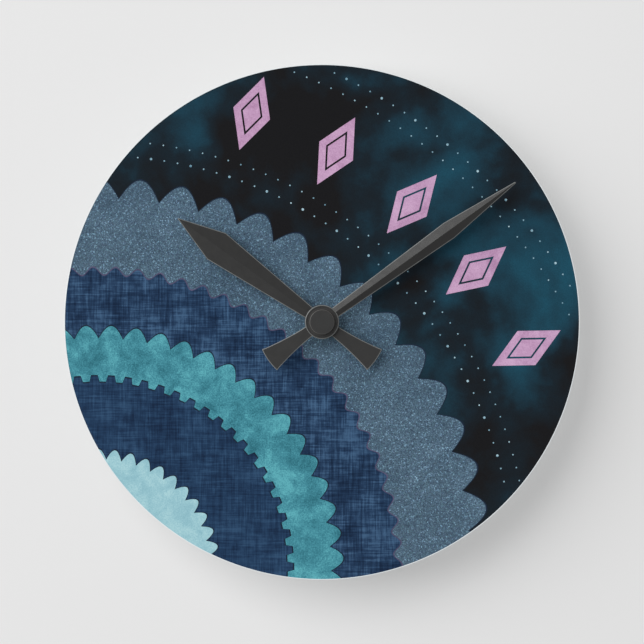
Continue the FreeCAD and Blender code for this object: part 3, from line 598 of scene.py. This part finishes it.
# Each row of dots has its reach from the fan's centre, first and last degrees, and radii in turn
DOT_ROWS = [
    (163.5, 5, 92, (0.5, 0.32, 0.32)),
    (169.5, 5, 92, (0.3,)),
    (211.0, 20, 80, (0.3,)),
    (217.0, 20, 80, (0.32, 0.5, 0.32)),
]
DOT_SPACING = 5.2
DOT_MARGIN = 1.2
DOT_CORNERS = 12


def heading(turn):
    """The direction of a turn in radians, in x and z."""
    return Vector((math.cos(turn), math.sin(turn)))


def wave_edge(reach, rise, lobes, kind):
    """The distance of a band's edge from the fan's centre, as a function of the turn."""
    def edge(turn):
        swing = lobes * turn
        if kind == "scallop":
            return reach + rise * (abs(math.sin(swing / 2)) - SCALLOP_MEAN)
        if kind == "ripple":
            return reach + rise * 0.5 * math.sin(swing)
        return reach + rise * 0.5 * max(-1.0, min(1.0, STEP_STEEPNESS * math.sin(swing)))
    return edge


def fan_turns():
    """Turns of rays from the fan's centre over the print, close enough for its outline."""
    turns = set()
    for step in range(RIM_RAYS):
        around = 2 * math.pi * step / RIM_RAYS
        ray = Vector((PRINT_RADIUS * math.cos(around), PRINT_RADIUS * math.sin(around))) - FAN
        turns.add(round(math.atan2(ray.y, ray.x), TURN_DIGITS))
    low = min(turns)
    high = max(turns)
    for step in range(FAN_RAYS + 1):
        turns.add(round(low + (high - low) * step / FAN_RAYS, TURN_DIGITS))
    return sorted(turns)


def ray_crossings(along):
    """Where a ray from the fan's centre enters and leaves the print's circle."""
    middle = -FAN.dot(along)
    square = PRINT_RADIUS * PRINT_RADIUS - (FAN.length_squared - middle * middle)
    half = math.sqrt(max(0.0, square))
    return middle - half, middle + half


def fan_band(bm, edge, margin, depth, ink):
    """The part of the print that is nearer to the fan's centre than an edge and its margin."""
    before = None
    for turn in fan_turns():
        along = heading(turn)
        near, far = ray_crossings(along)
        reach = min(far, edge(turn) + margin)
        if reach <= near:
            before = None
            continue
        inner = FAN + along * near
        outer = FAN + along * reach
        here = [bm.verts.new(to_world(point.x, depth, point.y)) for point in (inner, outer)]
        if before:
            face = bm.faces.new([before[0], before[1], here[1], here[0]])
            face.material_index = PRINT.index(ink)
        before = here


def flat_shape(bm, points, depth, ink):
    """A flat face at a depth."""
    face = bm.faces.new([bm.verts.new(to_world(point.x, depth, point.y)) for point in points])
    face.material_index = PRINT.index(ink)


def lozenge(centre, turn, half_width, half_length):
    """The corners of a lozenge whose length lies along a turn."""
    along = heading(turn) * half_length
    across = heading(turn + math.pi / 2) * half_width
    return [centre - along, centre - across, centre + along, centre + across]


def row_of_dots(bm, reach, first, last, radii, depth):
    """A curved row of round dots about the fan's centre, as far as the dial has room for them."""
    count = int(math.radians(last - first) * reach / DOT_SPACING)
    for step in range(count + 1):
        turn = math.radians(first + (last - first) * step / count)
        centre = FAN + heading(turn) * reach
        radius = radii[step % len(radii)]
        if centre.length + radius <= PRINT_RADIUS - DOT_MARGIN:
            corners = [centre + heading(2 * math.pi * corner / DOT_CORNERS) * radius
                       for corner in range(DOT_CORNERS)]
            flat_shape(bm, corners, depth, DOTS)


def dial_print():
    """The print, from the dark ground up to the dots."""
    bm = bmesh.new()
    ground = DIAL_FRONT - PRINT_DEPTH + GROUND_LIFT
    under = ground - GROUND_THICKNESS
    inner = STUD_HOLE + HOLE_BEVEL
    outer = PRINT_RADIUS - GROUND_GAP
    lathe(bm, [(inner, under), (inner, ground), (outer, ground), (outer, under)], DIAL_SEGMENTS,
          closed=True)
    depth = ground
    for reach, rise, lobes, kind, ink, outline_ink in BANDS:
        edge = wave_edge(reach, rise, lobes, kind)
        for margin, layer_ink in ((OUTLINE_WIDTH, outline_ink), (0.0, ink)):
            depth += LAYER
            fan_band(bm, edge, margin, depth, layer_ink)
    depth = ground + LAYER
    for degrees in LOZENGE_DEGREES:
        turn = math.radians(degrees)
        centre = FAN + heading(turn) * LOZENGE_REACH
        for level, (half_width, half_length, ink) in enumerate(LOZENGE_LAYERS):
            flat_shape(bm, lozenge(centre, turn, half_width, half_length), depth + LAYER * level, ink)
    for reach, first, last, radii in DOT_ROWS:
        row_of_dots(bm, reach, first, last, radii, depth)
    add_piece("dial_print", bm, "clock", PRINT)


# The hands

TAIL_SIDE_STEPS = 14
TAIL_END_STEPS = 10
# The middle point of a tail's rounded corner: how far inside the end's half width, how far
# beyond the side's last point, and how far inside the tail's radius, as a share of the corner
CORNER_IN = 0.1
CORNER_BEYOND = 0.4
CORNER_SHARE = 0.3
# A tip is narrowed to this share of its width at this share of its length from the end
TIP_NARROWED = 0.8
TIP_NARROWED_AT = 0.3
BOSS_SEGMENTS = 96
# How far behind its front a boss's rolled rim begins, and how deep its face lies inside the rim
BOSS_RIM = 0.3
BOSS_DISH = 0.06
# Places in a hand's list of finishes, whose edge finish is a painted highlight and whose boss finish is
# painted light against the cap's shade
ON_EDGE_HIGHLIGHT = 1
ON_BOSS_PAINTED_LIGHT = 2


def tail_outline():
    """The tail, anticlockwise from the root on the left side, as seen from the front."""
    side = [(TAIL_ROOT, HAND_UNDER_BOSS - HAND_BOSS)]
    for step in range(TAIL_SIDE_STEPS + 1):
        share = step / TAIL_SIDE_STEPS
        # A parabola through the three half widths
        width = (TAIL_ROOT * 2 * (share - 0.5) * (share - 1) - TAIL_MIDDLE * 4 * share * (share - 1)
                 + TAIL_END * 2 * share * (share - 0.5))
        point = (width, -HAND_BOSS - share * (TAIL_RADIUS - HAND_BOSS))
        if math.hypot(*point) < TAIL_RADIUS - TAIL_CORNER:
            side.append(point)
    corner_reach = TAIL_RADIUS - TAIL_CORNER * CORNER_SHARE
    corner_turn = math.atan2(TAIL_END - CORNER_IN, CORNER_BEYOND - side[-1][1])
    side.append((corner_reach * math.sin(corner_turn), -corner_reach * math.cos(corner_turn)))
    limit = math.asin(TAIL_END / TAIL_RADIUS) - TAIL_CORNER / TAIL_RADIUS
    end = []
    for step in range(TAIL_END_STEPS + 1):
        turn = -limit + 2 * limit * step / TAIL_END_STEPS
        end.append((TAIL_RADIUS * math.sin(turn), -TAIL_RADIUS * math.cos(turn)))
    left = [(-width, z) for width, z in side]
    return left + end + side[::-1]


def blade_outline(length, widest_at, half_width):
    """The blade, anticlockwise from its root, with points at both ends of its ridge."""
    start = HAND_BOSS - HAND_UNDER_BOSS
    root = HAND_ROOT + (half_width - HAND_ROOT) * start / widest_at
    side = [
        (root, start),
        (half_width, widest_at),
        (TIP_HALF_WIDTH, length - TIP_LENGTH),
        (TIP_HALF_WIDTH * TIP_NARROWED, length - TIP_LENGTH * TIP_NARROWED_AT),
    ]
    left = [(-width, z) for width, z in reversed(side)]
    return [(0.0, start)] + side + [(0.0, length)] + left


def chamfered_plate(bm, outline, top, ridge=0.0):
    """A thin plate with a narrow chamfer round its front, which may fall to both sides of x = 0.
    Returns its front and back rings, still open."""
    def ring(points, drop):
        return [bm.verts.new(to_world(x, top - ridge * abs(x) - drop, z)) for x, z in points]

    front = ring(inset_outline(outline, HAND_EDGE), 0.0)
    edge = ring(outline, HAND_EDGE_DROP)
    back = ring(outline, HAND_SHEET - HAND_BELOW_BOSS)
    # The chamfer takes the edge finish, a painted highlight.
    join_rings(bm, front, edge, ON_EDGE_HIGHLIGHT)
    join_rings(bm, edge, back)
    return front, back


def fill_halves(bm, ring):
    """Fills a blade's ring in two halves, which meet at its ridge."""
    first, second = [index for index, vertex in enumerate(ring) if abs(vertex.co.x) < SAME_PLACE]
    bm.faces.new(ring[first:second + 1])
    bm.faces.new(ring[second:] + ring[:first + 1])


def add_boss(bm, front, bore):
    """The boss with its rolled rim, which takes the edge's painted highlight, and faces of a lighter grey,
    painted light against the cap's shade.
    """
    back = front - HAND_SHEET
    profile = [
        (bore, back, ON_BOSS_PAINTED_LIGHT),
        (HAND_BOSS, back),
        (HAND_BOSS, front - BOSS_RIM, ON_EDGE_HIGHLIGHT),
        (HAND_BOSS - 0.1, front - 0.12, ON_EDGE_HIGHLIGHT),
        (HAND_BOSS - 0.32, front),
        (HAND_BOSS - 0.75, front, ON_BOSS_PAINTED_LIGHT),
        (HAND_BOSS - 0.95, front - BOSS_DISH, ON_BOSS_PAINTED_LIGHT),
        (bore, front - BOSS_DISH, ON_BOSS_PAINTED_LIGHT),
    ]
    lathe(bm, profile, BOSS_SEGMENTS, closed=True)


def hand_piece(name, body, node, length, widest_at, half_width, slope, front, bore, degrees):
    """A pressed hand: ridged blade, boss with a rolled rim, and a flat tail."""
    bm = bmesh.new()
    top = front - HAND_BELOW_BOSS
    for ring in chamfered_plate(bm, blade_outline(length, widest_at, half_width), top, slope):
        fill_halves(bm, ring)
    for ring in chamfered_plate(bm, tail_outline(), top):
        bm.faces.new(ring)
    add_boss(bm, front, bore)
    outward(bm)
    turn = -math.radians(degrees)
    for vertex in bm.verts:
        x, z = vertex.co.x, vertex.co.z
        vertex.co.x = x * math.cos(turn) - z * math.sin(turn)
        vertex.co.z = x * math.sin(turn) + z * math.cos(turn)
    # The edge finish paints a highlight on the chamfers, and the boss finish paints light on the boss.
    add_piece(name, bm, body, [HAND, HAND_EDGE_HIGHLIGHT, BOSS_PAINTED_LIGHT], [node], smooth=12.0)


def cap_piece():
    """The closed cap: a flat crown with a narrow chamfer round its top, and a blind hole. The chamfer
    takes a lighter finish, a painted highlight.
    """
    bm = bmesh.new()
    floor = CAP_FRONT - CAP_CROWN
    profile = [
        (0.0, floor),
        (CAP_BORE, floor),
        (CAP_BORE, CAP_BACK),
        (CAP_RADIUS - CAP_EASE, CAP_BACK),
        (CAP_RADIUS, CAP_BACK + CAP_EASE),
        (CAP_RADIUS, CAP_FRONT - 0.26, ON_EDGE_HIGHLIGHT),
        (CAP_RADIUS - 0.05, CAP_FRONT - 0.17, ON_EDGE_HIGHLIGHT),
        (CAP_RADIUS - 0.19, CAP_FRONT - 0.03, ON_EDGE_HIGHLIGHT),
        (CAP_RADIUS - 0.24, CAP_FRONT),
        (CAP_RADIUS - 0.4, CAP_FRONT),
        (0.0, CAP_FRONT),
    ]
    lathe(bm, profile, BOSS_SEGMENTS)
    outward(bm)
    add_piece("hand_cap", bm, "minute", [CAP, CAP_EDGE_HIGHLIGHT], ["cap_nut"], smooth=25.0)


# The stud and the setting knob

STUD_SEGMENTS = 64
# Rings of vertices in one pitch of the thread
PITCH_RINGS = 4
# Plain stud before the thread, and before and after it together, in millimetres
THREAD_START = 0.7
THREAD_RUNOUT = 1.3
STUD_EASE = 0.15
RING_GAP = 0.05
COLLAR_SIDES = 6
# Vertices round one flute of the knob. A power below 1 gives the flutes steep sides.
FLUTE_STEPS = 8
FLUTE_POWER = 0.7


def threaded_stud():
    """The stud with a cut thread: rings of crests and roots that climb one pitch a turn."""
    bm = bmesh.new()
    root = STUD_RADIUS - THREAD_DEPTH
    start = STUD_BACK + THREAD_START
    rows = int((STUD_FRONT - STUD_BACK - THREAD_RUNOUT) / THREAD_PITCH * PITCH_RINGS)
    top = start + rows * THREAD_PITCH / PITCH_RINGS

    def thread(row):
        """The reach of the thread in a row of vertices."""
        def reach(turn):
            phase = (row / PITCH_RINGS + turn / (2 * math.pi)) % 1.0
            return STUD_RADIUS - THREAD_DEPTH * (1 - abs(phase - 0.5) * 2)
        return reach

    profile = [(STUD_BORE, STUD_BACK), (root, STUD_BACK), (root, start - RING_GAP)]
    for row in range(rows + 1):
        profile.append((thread(row), start + row * THREAD_PITCH / PITCH_RINGS))
    profile += [
        (root, top + RING_GAP),
        (root, STUD_FRONT - STUD_EASE),
        (root - STUD_EASE, STUD_FRONT),
        (STUD_BORE + STUD_EASE, STUD_FRONT),
        (STUD_BORE, STUD_FRONT - STUD_EASE),
    ]
    rings = [add_ring(bm, reach, along, STUD_SEGMENTS) for reach, along in profile]
    for first, second in zip(rings, rings[1:] + rings[:1]):
        join_rings(bm, first, second)
    collar_top = STUD_BACK + COLLAR_HEIGHT
    collar = [
        (COLLAR_HOLE, STUD_BACK + RING_GAP),
        (COLLAR_RADIUS, STUD_BACK),
        (COLLAR_RADIUS, collar_top),
        (COLLAR_HOLE, collar_top - RING_GAP),
    ]
    lathe(bm, collar, COLLAR_SIDES, closed=True)
    outward(bm)
    add_piece("stud_threaded", bm, "clock", [BRASS], ["threaded_bush"], smooth=35.0)


def knob_piece():
    """The setting knob: fluted round its edge, dished at the back, with the shaft's end in it."""
    bm = bmesh.new()

    def fluted(inward):
        """The reach of the fluted edge, moved inward."""
        def reach(turn):
            groove = max(0.0, -math.cos(KNOB_FLUTES * turn)) ** FLUTE_POWER
            return KNOB_RADIUS - inward - KNOB_FLUTE_DEPTH * groove
        return reach

    # From the front, round the fluted edge and over the dish to the end of the shaft
    profile = [
        (fluted(KNOB_EASE), KNOB_FRONT),
        (fluted(0.0), KNOB_FRONT - KNOB_EASE),
        (fluted(0.0), KNOB_BACK + 0.35),
        (fluted(0.08), KNOB_BACK + 0.14),
        (fluted(0.3), KNOB_BACK),
        (KNOB_RADIUS - 1.2, KNOB_BACK),
        (KNOB_RADIUS - 1.32, KNOB_BACK + 0.05),
        (KNOB_RADIUS - 1.45, KNOB_BACK + 0.25),
        (KNOB_RADIUS - 1.75, KNOB_BACK + 0.55),
        (KNOB_RADIUS - 2.1, KNOB_BACK + KNOB_DISH),
        (SHAFT_RADIUS + 0.2, KNOB_BACK + KNOB_DISH),
        (SHAFT_RADIUS + 0.05, KNOB_BACK + 0.5),
        (SHAFT_RADIUS, KNOB_BACK + 0.2),
        (SHAFT_RADIUS - 0.15, KNOB_BACK + 0.1),
    ]
    count = KNOB_FLUTES * FLUTE_STEPS
    rings = [add_ring(bm, reach, depth, count, KNOB_CENTRE) for reach, depth in profile]
    for first, second in zip(rings, rings[1:]):
        join_rings(bm, first, second)
    bm.faces.new(rings[0])
    bm.faces.new(rings[-1])
    outward(bm)
    add_piece("knob_fluted", bm, "setting", [KNOB], ["setting_knob"], smooth=35.0)


# The battery

CELL_SEGMENTS = 96
NUB_SEGMENTS = 64
# The can narrows by the drop over its shoulder, at both ends
SHOULDER = 0.8
SHOULDER_END = 0.3
SHOULDER_DROP = 0.08
# Depth of the steel round the cap, how far the wrap stops short of the flat end, and depth of the
# groove round that end
CAP_SEAT = 0.35
WRAP_SHORT = 0.05
FLAT_GROOVE = 0.25
# The nub's rounded edge, and its middle point
NUB_EASE = 0.4
NUB_EASE_MIDDLE = 0.1


def battery_piece():
    """A cell: wrapped can with rolled ends, and bare steel at both ends."""
    bm = bmesh.new()
    left = BATTERY_CAP_LENGTH - BATTERY_HALF_LENGTH
    right = BATTERY_HALF_LENGTH
    steel = 1
    profile = [
        (0.0, left + CAP_SEAT, steel),
        (2.9, left + CAP_SEAT, steel),
        (3.1, left + 0.15, steel),
        (BATTERY_RADIUS - 1.15, left + 0.1, steel),
        (BATTERY_RADIUS - 0.75, left),
        (BATTERY_RADIUS - 0.35, left),
        (BATTERY_RADIUS - SHOULDER_DROP, left + SHOULDER_END),
        (BATTERY_RADIUS, left + SHOULDER),
        (BATTERY_RADIUS, right - SHOULDER),
        (BATTERY_RADIUS - SHOULDER_DROP, right - SHOULDER_END),
        (BATTERY_RADIUS - 0.4, right - WRAP_SHORT),
        (BATTERY_RADIUS - 0.9, right - WRAP_SHORT, steel),
        (BATTERY_RADIUS - 1.0, right - FLAT_GROOVE, steel),
        (BATTERY_RADIUS - 1.6, right - FLAT_GROOVE, steel),
        (BATTERY_RADIUS - 2.0, right, steel),
        (0.0, right),
    ]
    lathe(bm, profile, CELL_SEGMENTS, BATTERY_CENTRE, "X")
    outward(bm)
    add_piece("cell", bm, "battery", [CELL, CELL_END], ["battery"], smooth=30.0)


def battery_nub():
    """The cell's positive cap."""
    bm = bmesh.new()
    left = -BATTERY_HALF_LENGTH
    right = left + BATTERY_CAP_LENGTH
    profile = [
        (0.0, left),
        (BATTERY_CAP_RADIUS - NUB_EASE, left),
        (BATTERY_CAP_RADIUS - NUB_EASE_MIDDLE, left + NUB_EASE_MIDDLE),
        (BATTERY_CAP_RADIUS, left + NUB_EASE),
        (BATTERY_CAP_RADIUS, right),
        (0.0, right),
    ]
    lathe(bm, profile, NUB_SEGMENTS, BATTERY_CENTRE, "X")
    outward(bm)
    add_piece("cell_nub", bm, "battery", [CELL_END], ["battery_cap"], smooth=30.0)


# The whole clock

dial_sheet()
dial_print()
hand_piece("hour_hand_pressed", "hour", "hour_hand", **HOUR_HAND)
hand_piece("minute_hand_pressed", "minute", "minute_hand", **MINUTE_HAND)
cap_piece()
threaded_stud()
knob_piece()
battery_piece()
battery_nub()

# CAD node, body, slot, finish and width of its eased edges
EASED = [
    ("rubber_washer", "clock", "rubber", RUBBER, 0.2),
    ("brass_washer", "clock", "brass", BRASS, 0.08),
    ("hex_nut", "clock", "brass", BRASS, 0.18),
    ("hour_hand_collet", "hour", "brass", BRASS, 0.1),
    ("minute_hand_collet", "minute", "brass", BRASS, 0.08),
    ("case_front", "clock", "case_plastic", CASE, 0.25),
    ("case_rear", "clock", "case_plastic", CASE, 0.2),
    ("hanger_loop", "clock", "case_plastic", HANGER, 0.25),
    ("battery_contact_negative", "clock", "contact_metal", SPRING, 0.06),
    ("battery_contact_positive", "clock", "contact_metal", SPRING, 0.06),
]
for node, body, slot, finish, width in EASED:
    soften(node, body, finish, width)

# CAD nodes that stay as they are, and their finishes
CARRIED = {
    "setting_shaft": KNOB,
    "gear_bridge": BRIDGE,
    "stator_plate": IRON,
    "coil_core": IRON,
    "coil_bobbin": BOBBIN,
    "coil_winding": COPPER,
    "circuit_board": BOARD,
    "circuit_chip": RESIN,
    "quartz_crystal": CELL_END,
    "minute_arbor": BRASS,
    "clutch_spring": STEEL,
    "hour_wheel": WHITE_GEAR,
    "motion_wheel": TINTED_GEAR,
    "rotor_magnet": MAGNET,
    "rotor_pinion": WHITE_GEAR,
    "intermediate_wheel": TINTED_GEAR,
    "seconds_wheel": WHITE_GEAR,
    "seconds_arbor": STEEL,
    "third_wheel": TINTED_GEAR,
    "centre_wheel": WHITE_GEAR,
}
for node, finish in CARRIED.items():
    for material_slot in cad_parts[node].material_slots:
        material_slot.material = finish.material


# Wall, light and camera, in metres

WALL_HALF = 0.45
WALL_BEHIND = 0.0003
# The wall fades into the world's colour between these distances from its middle
WALL_FADE_START = 0.2
WALL_FADE_END = 0.42
WALL_COLOUR = srgb(230, 230, 230)
# The part of the wall's brightness that no shadow darkens, and the part that takes light
WALL_BASE = grey(0.15)
WALL_MATT = tuple(whole - base for whole, base in zip(WALL_COLOUR, WALL_BASE))[:3] + (1.0,)
WORLD_LEVEL = 0.45
# The lamps, with their power in watts
KEY = {"place": (-2.774, -2.528, 1.383), "size": (5.2, 3.65), "power": 187.0}
BACK_FILL = {"place": (0.8, 1.1, 0.6), "size": (0.9, 0.9), "power": 14.0}
# The camera's distance from the dial's front, and the picture's width there
VIEW_DISTANCE = 1.6
FRAME_WIDTH = 0.2537
# In millimetres
SENSOR_WIDTH = 36.0


def wire(tree, kinds, links):
    """Fills a node tree from a table of each node's name, kind and settings, and a table of
    links from a node's output to a node's input. Returns the nodes by name."""
    tree.nodes.clear()
    nodes = {}
    for name, kind, settings in kinds:
        nodes[name] = tree.nodes.new(kind)
        for setting, value in settings.items():
            setattr(nodes[name], setting, value)
    for source, output, target, socket in links:
        tree.links.new(nodes[source].outputs[output], nodes[target].inputs[socket])
    return nodes


def wall_paint():
    """Matt paint that only the camera at the front sees. All other rays pass through it."""
    material = bpy.data.materials.new("wall_paint")
    material.use_nodes = True
    kinds = [
        ("path", "ShaderNodeLightPath", {}),
        ("side", "ShaderNodeNewGeometry", {}),
        ("from_front", "ShaderNodeMath", {"operation": "SUBTRACT", "use_clamp": True}),
        ("place", "ShaderNodeTexCoord", {}),
        ("reach", "ShaderNodeVectorMath", {"operation": "LENGTH"}),
        ("fade", "ShaderNodeMapRange", {"interpolation_type": "SMOOTHSTEP"}),
        ("share", "ShaderNodeMath", {"operation": "MULTIPLY"}),
        ("clear", "ShaderNodeBsdfTransparent", {}),
        ("matt", "ShaderNodeBsdfDiffuse", {}),
        ("base", "ShaderNodeEmission", {}),
        ("paint", "ShaderNodeAddShader", {}),
        ("mix", "ShaderNodeMixShader", {}),
        ("output", "ShaderNodeOutputMaterial", {}),
    ]
    nodes = wire(material.node_tree, kinds, [
        ("path", "Is Camera Ray", "from_front", 0),
        ("side", "Backfacing", "from_front", 1),
        ("place", "Object", "reach", 0),
        ("reach", "Value", "fade", "Value"),
        ("from_front", "Value", "share", 0),
        ("fade", "Result", "share", 1),
        ("share", "Value", "mix", "Fac"),
        ("clear", "BSDF", "mix", 1),
        ("matt", "BSDF", "paint", 0),
        ("base", "Emission", "paint", 1),
        ("paint", "Shader", "mix", 2),
        ("mix", "Shader", "output", "Surface"),
    ])
    nodes["fade"].inputs["From Min"].default_value = WALL_FADE_START
    nodes["fade"].inputs["From Max"].default_value = WALL_FADE_END
    nodes["fade"].inputs["To Min"].default_value = 1.0
    nodes["fade"].inputs["To Max"].default_value = 0.0
    nodes["matt"].inputs["Color"].default_value = WALL_MATT
    nodes["base"].inputs["Color"].default_value = WALL_BASE
    return material


def wall():
    """The wall, one face that looks forward, just behind the clock."""
    corners = [(-WALL_HALF, -WALL_HALF), (WALL_HALF, -WALL_HALF),
               (WALL_HALF, WALL_HALF), (-WALL_HALF, WALL_HALF)]
    mesh = bpy.data.meshes.new("wall")
    mesh.from_pydata([(x, WALL_BEHIND, z) for x, z in corners], [], [(0, 1, 2, 3)])
    mesh.materials.append(wall_paint())
    piece = bpy.data.objects.new("wall", mesh)
    bpy.context.scene.collection.objects.link(piece)


def soft_box(name, place, size, power):
    """A rectangular lamp that faces the clock."""
    data = bpy.data.lights.new(name, "AREA")
    data.shape = "RECTANGLE"
    data.size, data.size_y = size
    data.energy = power
    lamp = bpy.data.objects.new(name, data)
    lamp.location = place
    lamp.rotation_euler = (-Vector(place)).to_track_quat("-Z", "Y").to_euler()
    bpy.context.scene.collection.objects.link(lamp)


def world_light():
    """Even light from all round. The camera sees the wall's colour in its place."""
    world = bpy.data.worlds.new("studio")
    bpy.context.scene.world = world
    world.use_nodes = True
    kinds = [
        ("path", "ShaderNodeLightPath", {}),
        ("light", "ShaderNodeBackground", {}),
        ("seen", "ShaderNodeBackground", {}),
        ("mix", "ShaderNodeMixShader", {}),
        ("output", "ShaderNodeOutputWorld", {}),
    ]
    nodes = wire(world.node_tree, kinds, [
        ("path", "Is Camera Ray", "mix", "Fac"),
        ("light", "Background", "mix", 1),
        ("seen", "Background", "mix", 2),
        ("mix", "Shader", "output", "Surface"),
    ])
    nodes["light"].inputs["Color"].default_value = grey(1.0)
    nodes["light"].inputs["Strength"].default_value = WORLD_LEVEL
    nodes["seen"].inputs["Color"].default_value = WALL_COLOUR


def add_camera():
    """A camera square on to the dial, which it frames as the photograph does."""
    data = bpy.data.cameras.new("camera")
    data.sensor_width = SENSOR_WIDTH
    data.lens = SENSOR_WIDTH * VIEW_DISTANCE / FRAME_WIDTH
    camera = bpy.data.objects.new("camera", data)
    camera.location = (0.0, -DIAL_FRONT * MM - VIEW_DISTANCE, 0.0)
    camera.rotation_euler = (math.radians(90), 0, 0)
    bpy.context.scene.collection.objects.link(camera)
    bpy.context.scene.camera = camera


wall()
world_light()
soft_box("key", **KEY)
soft_box("back_fill", **BACK_FILL)
add_camera()
bpy.context.scene.view_settings.view_transform = "Standard"
